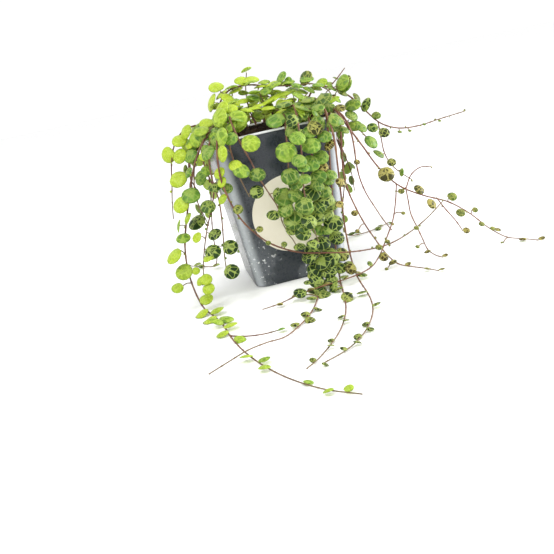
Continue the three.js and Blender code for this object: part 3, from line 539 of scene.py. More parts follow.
class Finish(Board):
    """A material under construction."""

    def __init__(self, name, **constants):
        self.material = bpy.data.materials.new(name)
        self.material.use_nodes = True
        super().__init__(self.material.node_tree)
        self.shader = self.tree.nodes["Principled BSDF"]
        for key, value in constants.items():
            self.shader.inputs[key.replace("_", " ")].default_value = value

    def set(self, **values):
        for key, value in values.items():
            self.feed(self.shader.inputs[key.replace("_", " ")], value)

    def place(self):
        return self.wire("ShaderNodeTexCoord", output="Object")

    def attribute(self, name, output="Fac"):
        return self.wire("ShaderNodeAttribute", {"attribute_name": name}, output=output)

    def split(self, vector):
        node = self.node("ShaderNodeSeparateXYZ", values={0: vector})
        return [Wire(self, node.outputs[i]) for i in range(3)]

    def join(self, x, y, z=0.0):
        return self.wire("ShaderNodeCombineXYZ", values={0: x, 1: y, 2: z})

    def noise(self, vector, scale, detail=3.0, roughness=0.55):
        return self.wire("ShaderNodeTexNoise", values={"Vector": vector, "Scale": scale, "Detail": detail,
                                                       "Roughness": roughness})

    def mix(self, share, a, b):
        node = self.node("ShaderNodeMix", {"data_type": "RGBA"}, {0: share, 1: a, 2: b})
        return Wire(self, self.pick(node.outputs, 0))

    def bump(self, height, strength, distance):
        return self.wire("ShaderNodeBump", values={"Height": height, "Strength": strength,
                                                   "Distance": distance})


class Growth(Board):
    """A Geometry Nodes tree under construction."""

    def __init__(self, name, **inputs):
        tree = bpy.data.node_groups.new(name, "GeometryNodeTree")
        super().__init__(tree)
        tree.interface.new_socket("Geometry", in_out="INPUT", socket_type="NodeSocketGeometry")
        tree.interface.new_socket("Geometry", in_out="OUTPUT", socket_type="NodeSocketGeometry")
        for label, kind in inputs.items():
            tree.interface.new_socket(label.replace("_", " "), in_out="INPUT",
                                      socket_type="NodeSocket" + kind)
        self.start = tree.nodes.new("NodeGroupInput")
        self.end = tree.nodes.new("NodeGroupOutput")

    def given(self, name):
        return Wire(self, self.start.outputs[name])

    def named(self, name, kind="FLOAT"):
        return self.wire("GeometryNodeInputNamedAttribute", {"data_type": kind}, {"Name": name})

    def vector(self, operation, *values):
        return self.wire("ShaderNodeVectorMath", {"operation": operation}, dict(enumerate(values)))

    def chance(self, low, high, seed, kind="FLOAT"):
        return self.wire("FunctionNodeRandomValue", {"data_type": kind}, {0: low, 1: high, "Seed": seed})

    def rest(self, geometry, lowest):
        """Lifts whatever lies below a height up to it."""
        place = self.node("ShaderNodeSeparateXYZ", values={0: self.wire("GeometryNodeInputPosition")})
        x, y, z = [Wire(self, place.outputs[i]) for i in range(3)]
        resting = self.wire("ShaderNodeCombineXYZ", values={0: x, 1: y, 2: z.higher(lowest)})
        return self.wire("GeometryNodeSetPosition", values={"Geometry": geometry, "Position": resting})

    def finish(self, geometry, material):
        real = self.wire("GeometryNodeRealizeInstances", values={0: geometry})
        painted = self.wire("GeometryNodeSetMaterial", values={"Geometry": real, "Material": material})
        self.feed(self.end.inputs[0], painted)
        return self.tree


def grow(source, tree, name, values):
    """Runs a tree on an object, and returns the result as a plain mesh object of that name."""
    modifier = source.modifiers.new("growth", "NODES")
    modifier.node_group = tree
    for item in tree.interface.items_tree:
        if item.in_out == "INPUT" and item.name in values:
            modifier[item.identifier] = values[item.name]
    depsgraph = bpy.context.evaluated_depsgraph_get()
    mesh = bpy.data.meshes.new_from_object(source.evaluated_get(depsgraph), preserve_all_data_layers=True,
                                           depsgraph=depsgraph)
    source.modifiers.remove(modifier)
    bpy.data.objects.remove(source)
    piece = bpy.data.objects.new(name, mesh)
    mesh.name = name
    bpy.context.collection.objects.link(piece)
    return piece


def settle(piece, slot, *nodes):
    """Hands a finished piece to the frame."""
    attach(piece, "root")
    if nodes:
        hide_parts(*nodes)


def plain_object(name, mesh):
    piece = bpy.data.objects.new(name, mesh)
    bpy.context.collection.objects.link(piece)
    return piece


# ---------------------------------------------------------------- finishes

def leaf_finish(look):
    """Fleshy leaf: dark patches between pale veins on top, plain pale green below."""
    skin = Finish("leaf_skin", Specular_IOR_Level=0.2, Subsurface_Weight=0.12, Subsurface_Scale=0.002)
    skin.shader.inputs["Subsurface Radius"].default_value = (0.6, 1.0, 0.2)
    tone = skin.attribute("tone")
    backlight = skin.attribute("backlight")
    seed = skin.attribute("seed")
    top = skin.attribute("topside")
    stalk = skin.attribute("stalk")
    leaf = skin.split(skin.wire("ShaderNodeUVMap", {"uv_map": "leaf"}))
    x = leaf[0] * 2 - 1
    y = leaf[1] * 2 - 1
    drift = skin.noise(skin.join(x + seed * 31, y + seed * 17, seed * 9), 1.6, 2.0)
    side = abs(y + (drift - 0.5) * 0.16)
    # The veins spread from near the petiole, fork on the way, and the patches between them reach the rim.
    forward = x + (drift - 0.5) * 0.25 + 0.72
    spread = (forward * forward + side * side).root()
    angle = side.math("ARCTAN2", forward)
    cells = skin.join(angle * 1.12 + seed * 23, spread * 0.78 + seed * 5)
    web = skin.wire("ShaderNodeTexVoronoi", {"feature": "DISTANCE_TO_EDGE"},
                    {"Vector": cells, "Scale": 1.6, "Randomness": 0.72})
    vein_width = look.vein_width / spread.higher(0.4)
    web_vein = 1 - (web / vein_width).step(0.55, 1.25)
    midrib = 1 - (side / (look.vein_width * (1.15 - 0.4 * spread))).step(0.40, 0.95)
    reach = (x * x + y * y).root()
    rim = reach.step(0.90, 0.99)
    vein = web_vein.higher(midrib).higher(rim * 0.7)
    mottle = skin.noise(skin.join(x + seed * 13, y - seed * 7), 5.0, 3.0)
    core = web.step(0.03, 0.26) * tone.step(0.05, 0.35, 0.12, 1.0)
    patch = skin.mix(tone.step(0.03, 0.45), look.lime, look.mid_green)
    patch = skin.mix(core * 0.7, patch, look.mid_dark)
    patch = skin.mix(tone.step(0.42, 0.85), patch, look.dark_green)
    # Painted backlight: strings marked as backlit get brown-green patches, standing in for light from behind.
    patch = skin.mix(backlight * tone.step(0.1, 0.9, 0.45, 1.0), patch, look.backlit_patch)
    edge_vein = skin.mix(tone.step(0.05, 0.55), look.lime_vein, look.pale_vein)
    # Painted backlight: backlit strings get yellow veins.
    edge_vein = skin.mix(backlight, edge_vein, look.backlit_vein)
    clear = tone.step(0.2, 0.8, 0.30, 1.0)
    upper = skin.mix(vein * clear, patch, edge_vein)
    shade = mottle.step(0.3, 0.7, 0.82, 1.12)
    upper_lit = skin.wire("ShaderNodeVectorMath", {"operation": "SCALE"}, {0: upper, 1: shade})
    under = skin.mix(tone.step(0.3, 1.0), look.underside, look.underside_dark)
    colour = skin.mix(top.step(0.45, 0.6), under, upper_lit)
    colour = skin.mix(stalk, colour, look.petiole)
    height = (1 - vein) * 0.6 + mottle * 0.4
    skin.set(Base_Color=colour, Roughness=mottle.step(0.2, 0.8, 0.30, 0.46),
             Normal=skin.bump(height, 0.5, 0.0006))
    return skin.material


def stem_finish(look):
    """Thin stem: reddish brown, greener at the growing end, with dark speckles."""
    bark = Finish("stem_skin", Specular_IOR_Level=0.4)
    place = bark.place()
    along = bark.attribute("along")
    backlight = bark.attribute("backlight")
    speckle = bark.noise(place, 900.0, 3.0)
    streak = bark.noise(place, 160.0, 2.0)
    colour = bark.mix(streak.step(0.35, 0.65), look.stem, look.stem_light)
    colour = bark.mix(along.step(0.65, 1.0) * 0.75, colour, look.stem_tip)
    # Painted backlight: stems of backlit strings are painted redder.
    colour = bark.mix(backlight * 0.35, colour, look.stem_backlit)
    colour = bark.mix(speckle.step(0.55, 0.75) * 0.35, colour, look.stem_dark)
    bark.set(Base_Color=colour, Roughness=speckle.step(0.3, 0.7, 0.42, 0.62),
             Normal=bark.bump(speckle, 0.35, 0.0002))
    return bark.material


def pot_finish(look):
    """Thin glossy smoky plastic, darker where the soil shows through, with scuffs, a painted highlight on the
    corners and a painted highlight along the lip.
    """
    shell = Finish("pot_wall", Specular_IOR_Level=0.35, Coat_Roughness=0.12)
    place = shell.place()
    x, y, z = shell.split(place)
    cloud = shell.noise(place, 28.0, 4.0)
    grain = shell.noise(place, 420.0, 4.0, 0.65)
    damp = shell.noise(shell.join(x, y, z * 0.45), 34.0, 3.0)
    colour = shell.mix(cloud.step(0.35, 0.68), look.pot, look.pot_light)
    colour = shell.mix(damp.step(0.34, 0.70) * 0.28, colour, look.pot_dark)
    # Painted highlight: the rounded corners are painted paler, standing in for the bright surroundings
    # reflected there.
    half = z * ((RIM_WIDTH - BASE_WIDTH) / 2 / POT_HEIGHT) + BASE_WIDTH / 2
    corner = (abs(x) / half).step(0.76, 0.92) * (abs(y) / half).step(0.76, 0.92)
    corner = corner * damp.step(0.3, 0.7, 0.8, 1.0)
    colour = shell.mix(corner, colour, look.pot_corner_highlight)
    low = 1 - z.step(0.006, 0.052)
    fleck = shell.noise(place, 480.0, 2.0, 0.4).step(0.64, 0.70)
    worn = shell.noise(place, 48.0, 3.0).step(0.46, 0.58)
    scuff = fleck * worn * low
    colour = shell.mix(low * worn * 0.22, colour, look.pot_scuff)
    colour = shell.mix(scuff * 0.9, colour, look.rim_highlight_and_scuffs)
    # Painted highlight: a near-white band is painted along the lip. The line above uses the same pale colour
    # for real scuff flecks.
    lip = z.step(POT_HEIGHT - 0.0017, POT_HEIGHT - 0.0011)
    colour = shell.mix(lip * 0.95, colour, look.rim_highlight_and_scuffs)
    scratch = shell.noise(shell.join(x * 6.0, y * 6.0, z), 60.0, 3.0).step(0.62, 0.72)
    rough = grain.step(0.3, 0.7, 0.24, 0.34) + scuff * 0.35 + scratch * 0.10
    shell.set(Base_Color=colour, Roughness=rough, Coat_Weight=0.2 - scuff * 0.2,
              Normal=shell.bump(cloud, 0.06, 0.0004))
    return shell.material


def peat_finish(look):
    """Dark crumbly peat with paler fibres."""
    peat = Finish("peat_crumb", Specular_IOR_Level=0.15)
    place = peat.place()
    crumb = peat.noise(place, 420.0, 6.0, 0.7)
    clump = peat.noise(place, 90.0, 4.0)
    fibre = peat.noise(peat.wire("ShaderNodeMapping", values={"Vector": place, "Scale": (1.0, 7.0, 2.0)}),
                       260.0, 2.0).step(0.66, 0.74)
    colour = peat.mix(crumb.step(0.35, 0.7), look.peat_dark, look.peat)
    colour = peat.mix(clump.step(0.45, 0.75) * 0.6, colour, look.peat_light)
    colour = peat.mix(fibre * 0.5, colour, look.peat_fibre)
    peat.set(Base_Color=colour, Roughness=crumb.step(0.3, 0.7, 0.82, 1.0),
             Normal=peat.bump(crumb * 0.7 + clump * 0.5, 0.9, 0.0016))
    return peat.material


def paper_finish(look):
    """Cream uncoated paper with a faint grain and a slightly handled surface."""
    paper = Finish("label_sheet", Specular_IOR_Level=0.25)
    place = paper.place()
    pulp = paper.noise(place, 1400.0, 4.0, 0.6)
    stain = paper.noise(place, 38.0, 3.0)
    colour = paper.mix(stain.step(0.4, 0.75) * 0.5, look.paper, look.paper_shade)
    colour = paper.mix(pulp.step(0.5, 0.8) * 0.3, colour, look.paper_light)
    paper.set(Base_Color=colour, Roughness=pulp.step(0.2, 0.8, 0.55, 0.72),
              Normal=paper.bump(pulp * 0.6 + stain * 0.6, 0.25, 0.0004))
    return paper.material


def floor_finish(look):
    """Plain pale studio floor."""
    sweep = Finish("studio_floor", Specular_IOR_Level=0.1)
    shade = sweep.noise(sweep.place(), 3.0, 1.0)
    sweep.set(Base_Color=sweep.mix(shade, look.floor, look.floor_shade),
              Roughness=shade.step(0, 1, 0.85, 0.95))
    return sweep.material


# ---------------------------------------------------------------- settings

def length(name, description, default):
    return bpy.props.FloatProperty(name=name, description=description, default=default, min=0.0,
                                   unit="LENGTH", subtype="DISTANCE", precision=5)


def share(name, description, default, high=1.0):
    return bpy.props.FloatProperty(name=name, description=description, default=default, min=0.0, max=high,
                                   subtype="FACTOR")


def paint(name, red, green, blue):
    return bpy.props.FloatVectorProperty(name=name, description=f"Colour: {name.lower()}", size=4,
                                         default=(red, green, blue, 1.0), min=0.0, max=1.0, subtype="COLOR")


class TurtlesSizes(bpy.types.PropertyGroup):
    """Sizes of the plant's finished pieces."""

    stem_radius: length("Stem radius", "Radius of a stem where it leaves the soil", 0.78 * MM)
    tip_radius: length("Tip radius", "Radius of a stem at its growing end", 0.36 * MM)
    bud_radius: length("Bud radius", "Radius of the small leaves left at the joints of bare stems", 1.0 * MM)
    petiole_radius: length("Petiole radius", "Radius of the stalk between stem and leaf", 0.38 * MM)
    joint_swell: share("Joint swelling", "How much thicker a stem is where a leaf grows", 0.35)
    leaf_thickness: share("Leaf thickness", "Height of a leaf's dome as a share of its radius", 0.24)
    leaf_lean: share("Leaf lean", "How far leaves lean towards the tip of their stem", 0.45)
    leaf_disorder: share("Leaf disorder", "How far leaves turn away from the light at random", 0.42)
    size_variation: share("Leaf size variation", "Random share taken off a leaf's radius", 0.26)
    crumbs: bpy.props.IntProperty(name="Crumbs", description="Loose peat crumbs on the soil",
                                  default=900, min=0)
    crumb_size: length("Crumb size", "Largest radius of a loose peat crumb", 1.1 * MM)


class TurtlesColours(bpy.types.PropertyGroup):
    """Colours of the finishes."""

    lime: paint("Lime leaf", 0.40, 0.52, 0.028)
    mid_green: paint("Mid green leaf", 0.155, 0.30, 0.034)
    mid_dark: paint("Mid green leaf, mottling", 0.055, 0.145, 0.025)
    dark_green: paint("Dark leaf patch", 0.013, 0.036, 0.006)
    backlit_patch: paint("Backlit leaf patch", 0.046, 0.033, 0.006)
    lime_vein: paint("Lime leaf vein", 0.52, 0.66, 0.14)
    pale_vein: paint("Pale vein", 0.27, 0.35, 0.075)
    backlit_vein: paint("Backlit vein", 0.38, 0.33, 0.09)
    underside: paint("Leaf underside", 0.44, 0.58, 0.09)
    underside_dark: paint("Old leaf underside", 0.33, 0.43, 0.12)
    petiole: paint("Petiole", 0.40, 0.36, 0.12)
    stem: paint("Stem", 0.115, 0.043, 0.026)
    stem_light: paint("Stem, light", 0.20, 0.10, 0.05)
    stem_dark: paint("Stem, dark", 0.08, 0.03, 0.02)
    stem_backlit: paint("Stem, backlit", 0.22, 0.065, 0.045)
    stem_tip: paint("Stem tip", 0.16, 0.13, 0.06)
    pot: paint("Pot", 0.018, 0.024, 0.031)
    pot_light: paint("Pot, light", 0.036, 0.044, 0.054)
    pot_dark: paint("Pot, damp soil behind", 0.010, 0.013, 0.017)
    pot_corner_highlight: paint("Pot, corner highlight", 0.46, 0.49, 0.52)
    rim_highlight_and_scuffs: paint("Pot rim highlight and scuffs", 0.86, 0.87, 0.88)
    pot_scuff: paint("Pot scuffs", 0.30, 0.32, 0.34)
    peat: paint("Peat", 0.055, 0.032, 0.019)
    peat_dark: paint("Peat, dark", 0.016, 0.010, 0.007)
    peat_light: paint("Peat, dry", 0.10, 0.060, 0.036)
    peat_fibre: paint("Peat fibre", 0.22, 0.14, 0.08)
    paper: paint("Paper", 0.82, 0.77, 0.64)
    paper_shade: paint("Paper, shaded", 0.74, 0.68, 0.55)
    paper_light: paint("Paper fibre", 0.88, 0.84, 0.74)
    floor: paint("Floor", 0.95, 0.95, 0.95)
    floor_shade: paint("Floor, shaded", 0.94, 0.94, 0.94)
    vein_width: share("Vein width", "Half width of a leaf's veins, as a share of its radius", 0.068)


def sizes():
    return bpy.context.scene.turtles_sizes


def colours():
    return bpy.context.scene.turtles_colours


def material(name, make):
    """The named material, made on first use."""
    return bpy.data.materials.get(name) or make(colours())


# ---------------------------------------------------------------- leaf and stems

LEAF_SIDES = 14
# A leaf's centre from the place where its petiole starts, in leaf radii: along the leaf, and out from
# the stem.
LEAF_REACH = 0.88
LEAF_LIFT = 0.30


def leaf_shape():
    """One leaf of unit radius on its petiole. It grows from the origin along +X, and its top faces +Z."""
    dome = sizes().leaf_thickness
    shell = bmesh.new()
    topside = shell.verts.layers.float.new("topside")
    stalk = shell.verts.layers.float.new("stalk")
    uv = shell.loops.layers.uv.new("leaf")

    def ring(reach, height, top):
        verts = []
        for i in range(LEAF_SIDES):
            turn = 2 * math.pi * i / LEAF_SIDES
            from_petiole = math.pi - abs(turn - math.pi)
            notch = 1 - 0.10 * math.exp(-((math.pi - from_petiole) / 0.42) ** 2) if reach > 0.5 else 1
            bend = LEAF_LIFT - 0.10 * reach * reach * math.sin(turn) ** 2
            vert = shell.verts.new((LEAF_REACH + reach * notch * math.cos(turn),
                                    reach * notch * math.sin(turn), height + bend))
            vert[topside] = top
            verts.append(vert)
        return verts

    def crown(height, top):
        vert = shell.verts.new((LEAF_REACH, 0, height + LEAF_LIFT))
        vert[topside] = top
        return vert

    rings = [ring(0.55, 0.72 * dome, 1.0), ring(0.90, 0.22 * dome, 1.0), ring(1.0, -0.12 * dome, 0.6),
             ring(0.86, -0.34 * dome, 0.0)]
    summit, bottom = crown(dome, 1.0), crown(-0.42 * dome, 0.0)
    for i in range(LEAF_SIDES):
        k = (i + 1) % LEAF_SIDES
        shell.faces.new((summit, rings[0][i], rings[0][k]))
        shell.faces.new((bottom, rings[-1][k], rings[-1][i]))
        for inner, outer in zip(rings, rings[1:]):
            shell.faces.new((inner[i], outer[i], outer[k], inner[k]))
    hooks = []
    for x, z, girth in ((0.0, -0.04, 0.07), (-0.01, 0.14, 0.055), (0.10, LEAF_LIFT - 0.04, 0.05)):
        hooks.append([])
        for i in range(4):
            turn = math.pi * (0.25 + 0.5 * i)
            vert = shell.verts.new((x + girth * math.sin(turn), girth * math.cos(turn), z))
            vert[stalk] = 1.0
            hooks[-1].append(vert)
    for lower, upper in zip(hooks, hooks[1:]):
        for i in range(4):
            k = (i + 1) % 4
            shell.faces.new((lower[k], lower[i], upper[i], upper[k]))
    shell.faces.new(hooks[0])
    shell.faces.new(hooks[-1][::-1])
    bmesh.ops.recalc_face_normals(shell, faces=shell.faces)
    for face in shell.faces:
        face.smooth = True
        for loop in face.loops:
            loop[uv].uv = ((loop.vert.co.x - LEAF_REACH) / 2 + 0.5, loop.vert.co.y / 2 + 0.5)
    mesh = bpy.data.meshes.new("leaf")
    shell.to_mesh(mesh)
    shell.free()
    piece = plain_object("leaf", mesh)
    piece.hide_render = True
    return piece


def stem_tree():
    """Sweeps a round section along each line, as thick as its girth attribute says."""
    growth = Growth("stem_growth", Material="Material", Sides="Int")
    curve = growth.wire("GeometryNodeMeshToCurve", values={0: growth.given("Geometry")})
    curve = growth.wire("GeometryNodeSetCurveRadius",
                        values={"Curve": curve, "Radius": growth.named("girth")})
    section = growth.wire("GeometryNodeCurvePrimitiveCircle",
                          values={"Resolution": growth.given("Sides"), "Radius": 1.0})
    values = {"Curve": curve, "Profile Curve": section, "Fill Caps": True}
    node = growth.node("GeometryNodeCurveToMesh", values=values)
    if "Scale" in [socket.name for socket in node.inputs]:
        growth.feed(growth.pick(node.inputs, "Scale"), growth.named("girth"))
    rested = growth.rest(Wire(growth, node.outputs[0]), 0.0)
    smooth = growth.wire("GeometryNodeSetShadeSmooth", values={0: rested})
    return growth.finish(smooth, growth.given("Material"))


def leaf_tree():
    """Sets leaves on alternate sides of each line, facing as its attributes say."""
    growth = Growth("leaf_growth", Leaf="Object", Laid_Leaves="Object", Spacing="Float", Lean="Float",
                    Disorder="Float", Size_Variation="Float", Seed="Int", Material="Material")
    seed = growth.given("Seed")
    curve = growth.wire("GeometryNodeMeshToCurve", values={0: growth.given("Geometry")})
    spots = growth.node("GeometryNodeCurveToPoints", {"mode": "LENGTH"},
                        {"Curve": curve, "Length": growth.given("Spacing")})
    points, tangent = Wire(growth, spots.outputs["Points"]), Wire(growth, spots.outputs["Tangent"])
    missing = growth.wire("FunctionNodeCompare", {"operation": "LESS_THAN"},
                          {0: growth.chance(0.0, 1.0, seed), 1: growth.named("missing")})
    points = growth.wire("GeometryNodeDeleteGeometry", {"domain": "POINT"}, {0: points, 1: missing})
    index = growth.wire("GeometryNodeInputIndex")
    side = (index % 2) * 2 - 1
    outward_way = growth.named("outward", "FLOAT_VECTOR")
    across = growth.vector("NORMALIZE", growth.vector("CROSS_PRODUCT", tangent, outward_way))
    across = growth.wire("ShaderNodeVectorMath", {"operation": "SCALE"}, {0: across, 1: side})
    lean = growth.wire("ShaderNodeVectorMath", {"operation": "SCALE"}, {0: tangent, 1: growth.given("Lean")})
    low, high = (-1.0, -1.0, -1.0), (1.0, 1.0, 1.0)

    def stray(offset):
        way = growth.chance(low, high, seed + offset, "FLOAT_VECTOR")
        return growth.wire("ShaderNodeVectorMath", {"operation": "SCALE"},
                           {0: way, 1: growth.given("Disorder")})

    pointing = growth.vector("ADD", growth.vector("ADD", across, lean), stray(1))
    facing = growth.vector("ADD", outward_way, stray(2))
    leaf = growth.node("GeometryNodeObjectInfo", {"transform_space": "ORIGINAL"},
                       {"Object": growth.given("Leaf")})

    def set_leaves(spots, pointing, facing, size, tone):
        turn = growth.wire("FunctionNodeAxesToRotation", {"primary_axis": "X", "secondary_axis": "Z"},
                           {0: pointing, 1: facing})
        leaves = growth.wire("GeometryNodeInstanceOnPoints",
                             values={"Points": spots, "Instance": Wire(growth, leaf.outputs["Geometry"]),
                                     "Rotation": turn, "Scale": size})
        for name, value in (("tone", tone), ("seed", growth.chance(0.0, 1.0, seed + 5))):
            leaves = growth.wire("GeometryNodeStoreNamedAttribute",
                                 {"data_type": "FLOAT", "domain": "INSTANCE"},
                                 {"Geometry": leaves, "Name": name, "Value": value})
        return leaves

    size = growth.named("leaf_size")
    tone = growth.named("tone")
    varied = size * (1 - growth.chance(0.0, 1.0, seed + 3) * growth.given("Size Variation"))
    grown = set_leaves(points, pointing, facing, varied, tone + growth.chance(-0.16, 0.16, seed + 4))
    laid = growth.node("GeometryNodeObjectInfo", {"transform_space": "ORIGINAL"},
                       {"Object": growth.given("Laid Leaves")})
    laid = growth.wire("GeometryNodeMeshToPoints", values={"Mesh": Wire(growth, laid.outputs["Geometry"])})
    laid = set_leaves(laid, growth.named("pointing", "FLOAT_VECTOR"), outward_way, size, tone)
    both = growth.node("GeometryNodeJoinGeometry")
    for part in (grown, laid):
        growth.tree.links.new(part.socket, both.inputs[0])
    leaves = Wire(growth, both.outputs[0])
    real = growth.wire("GeometryNodeRealizeInstances", values={0: leaves})
    real = growth.rest(real, 0.25 * MM)
    return growth.finish(real, growth.given("Material"))


def route_object(name, lines, attributes):
    """Open lines of points as one mesh of edges, with per-point attributes for the trees to read."""
    verts, edges = [], []
    for line in lines:
        start = len(verts)
        verts += [tuple(point) for point in line]
        edges += [(i, i + 1) for i in range(start, len(verts) - 1)]
    mesh = bpy.data.meshes.new(name)
    mesh.from_pydata(verts, edges, [])
    for key, values in attributes.items():
        if values and isinstance(values[0], Vector):
            layer = mesh.attributes.new(key, "FLOAT_VECTOR", "POINT")
            layer.data.foreach_set("vector", [part for value in values for part in value])
        else:
            layer = mesh.attributes.new(key, "FLOAT", "POINT")
            layer.data.foreach_set("value", values)
    return plain_object(name, mesh)


def distances(line):
    """Distance along a line to each of its points."""
    total, result = 0.0, [0.0]
    for a, b in zip(line, line[1:]):
        total += (b - a).length
        result.append(total)
    return result


def laid_source(rows, stems):
    """The placed leaves as points with attributes, and the petioles that join them to the stem."""
    points, petioles = [], []
    marks = {"leaf_size": [], "tone": [], "backlight": [], "outward": [], "pointing": []}
    for x, y, z, radius, turn, tilt, tone, backlight in rows:
        centre, radius = Vector((x, y, z)) * MM, PLACED_FULLNESS * radius * MM
        turn, tilt = math.radians(turn), math.radians(tilt)
        facing = Vector((math.cos(turn) * math.cos(tilt), math.sin(turn) * math.cos(tilt), math.sin(tilt)))
        joint = min((point for line in stems for point in line), key=lambda point: (point - centre).length)
        away = centre - joint
        pointing = away - facing * away.dot(facing)
        if pointing.length < 0.3 * radius:
            pointing += Vector((0.4, 0, -1)) * 0.5 * radius
            pointing -= facing * pointing.dot(facing)
        pointing.normalize()
        start = centre - LEAF_REACH * radius * pointing - LEAF_LIFT * radius * facing
        points.append(start)
        for key, value in zip(marks, (radius, tone, backlight, facing, pointing)):
            marks[key].append(value)
        if (start - joint).length > SHORTEST_PETIOLE:
            bow = (joint + start) / 2 + Vector((0, 0, 0.12 * (start - joint).length))
            petioles.append(centripetal([joint, bow, start + 0.05 * radius * facing], PETIOLE_STEP))
    return points, marks, petioles


def make_string(name, routes, growth, trees, seed):
    """One string: a stem piece and a leaf piece, which stand for the frame's node of the same name."""
    first, last, spacing, bare, gaps, tone_start, tone_end, backlight = growth
    size = sizes()
    stems = [centripetal(route, STEM_STEP) for route in routes]
    rows = laid_leaves(name)
    points, laid_marks, petioles = laid_source(rows, stems)
    girths, alongs = [], []
    for order, line in enumerate(stems):
        reach = distances(line)
        start = size.stem_radius * (1.0 if order == 0 else SIDE_SHOOT_GIRTH)
        start = min(start, size.tip_radius + 0.006 * reach[-1])
        for distance in reach:
            along = distance / reach[-1]
            joint = abs((distance / (spacing * MM) + 0.5) % 1.0 - 0.5)
            swell = 1 + size.joint_swell * math.exp(-(joint / 0.07) ** 2)
            girths.append((start + (size.tip_radius - start) * along ** 0.8) * swell)
            alongs.append(along)
    for line in petioles:
        girths += [size.petiole_radius] * len(line)
        alongs += [1.0] * len(line)
    backlights = [backlight] * len(girths)
    source = route_object("stem_route", stems + petioles, {"girth": girths, "along": alongs, "backlight": backlights})
    stem = grow(source, trees["stem"], f"{name}_stem",
                {"Material": material("stem_skin", stem_finish), "Sides": STEM_SIDES})
    settle(stem, "foliage", name)

    lines = []
    marks = {"leaf_size": [], "tone": [], "backlight": [], "missing": [], "outward": []}
    for order, line in enumerate(stems):
        reach = distances(line)
        clear = (bare if order == 0 else SIDE_SHOOT_BARE) * MM
        kept = [(point, distance) for point, distance in zip(line, reach) if distance >= clear]
        base = first if order == 0 else 0.5 * (first + last)
        lines.append([point for point, _ in kept])
        for point, distance in kept:
            along = distance / reach[-1]
            share = gaps * smooth_step(0.2, 0.8, along) if order == 0 else gaps
            placed = rows and LYING < point.z < POT_HEIGHT - 3 * MM
            radius = (base + (last - base) * along ** 1.5) * MM
            marks["leaf_size"].append(size.bud_radius if placed else radius)
            marks["tone"].append(tone_start + (tone_end - tone_start) * along)
            marks["backlight"].append(backlight)
            marks["missing"].append(BARE_JOINTS if placed else share)
            marks["outward"].append(outward(point))
    source = route_object("leaf_route", lines, marks)
    laid = route_object("laid_leaves", [[point] for point in points], laid_marks)
    leaves = grow(source, trees["leaf"], f"{name}_leaves", {
        "Leaf": trees["shape"], "Laid Leaves": laid, "Spacing": spacing * MM, "Lean": size.leaf_lean,
        "Disorder": size.leaf_disorder, "Size Variation": size.size_variation, "Seed": seed,
        "Material": material("leaf_skin", leaf_finish),
    })
    bpy.data.objects.remove(laid)
    settle(leaves, "foliage", name)


class TURTLES_OT_plant(bpy.types.Operator):
    """Grow every string and shoot of the plant along its route"""

    bl_idname = "turtles.plant"
    bl_label = "Strings and shoots"

    def execute(self, context):
        trees = {"stem": stem_tree(), "leaf": leaf_tree(), "shape": leaf_shape()}
        for seed, (name, routes, growth) in enumerate(all_strings(), 1):
            make_string(name, routes, growth, trees, seed)
        bpy.data.objects.remove(trees["shape"])
        return {"FINISHED"}


# ---------------------------------------------------------------- pot, soil and label

def half_width(z):
    """Half the pot's outside width at a height."""
    return (BASE_WIDTH + (RIM_WIDTH - BASE_WIDTH) * z / POT_HEIGHT) / 2


def square_ring(shell, half, corner, z, per_corner=12):
    """A ring of vertices round a rounded square."""
    ring = []
    for quarter in range(4):
        sx, sy = ((1, 1), (-1, 1), (-1, -1), (1, -1))[quarter]
        for i in range(per_corner + 1):
            turn = math.pi / 2 * (quarter + i / per_corner)
            ring.append(shell.verts.new((sx * (half - corner) + corner * math.cos(turn),
                                         sy * (half - corner) + corner * math.sin(turn), z)))
    return ring


def skin_rings(shell, rings):
    """Joins neighbouring rings with faces."""
    for lower, upper in zip(rings, rings[1:]):
        for i in range(len(lower)):
            k = (i + 1) % len(lower)
            shell.faces.new((lower[i], lower[k], upper[k], upper[i]))


def shell_object(name, shell, smooth=True):
    bmesh.ops.recalc_face_normals(shell, faces=shell.faces)
    for face in shell.faces:
        face.smooth = smooth
    mesh = bpy.data.meshes.new(name)
    shell.to_mesh(mesh)
    shell.free()
    return plain_object(name, mesh)


def baked(piece):
    """Applies a piece's modifiers."""
    depsgraph = bpy.context.evaluated_depsgraph_get()
    mesh = bpy.data.meshes.new_from_object(piece.evaluated_get(depsgraph), preserve_all_data_layers=True,
                                           depsgraph=depsgraph)
    piece.modifiers.clear()
    piece.data = mesh
    return piece


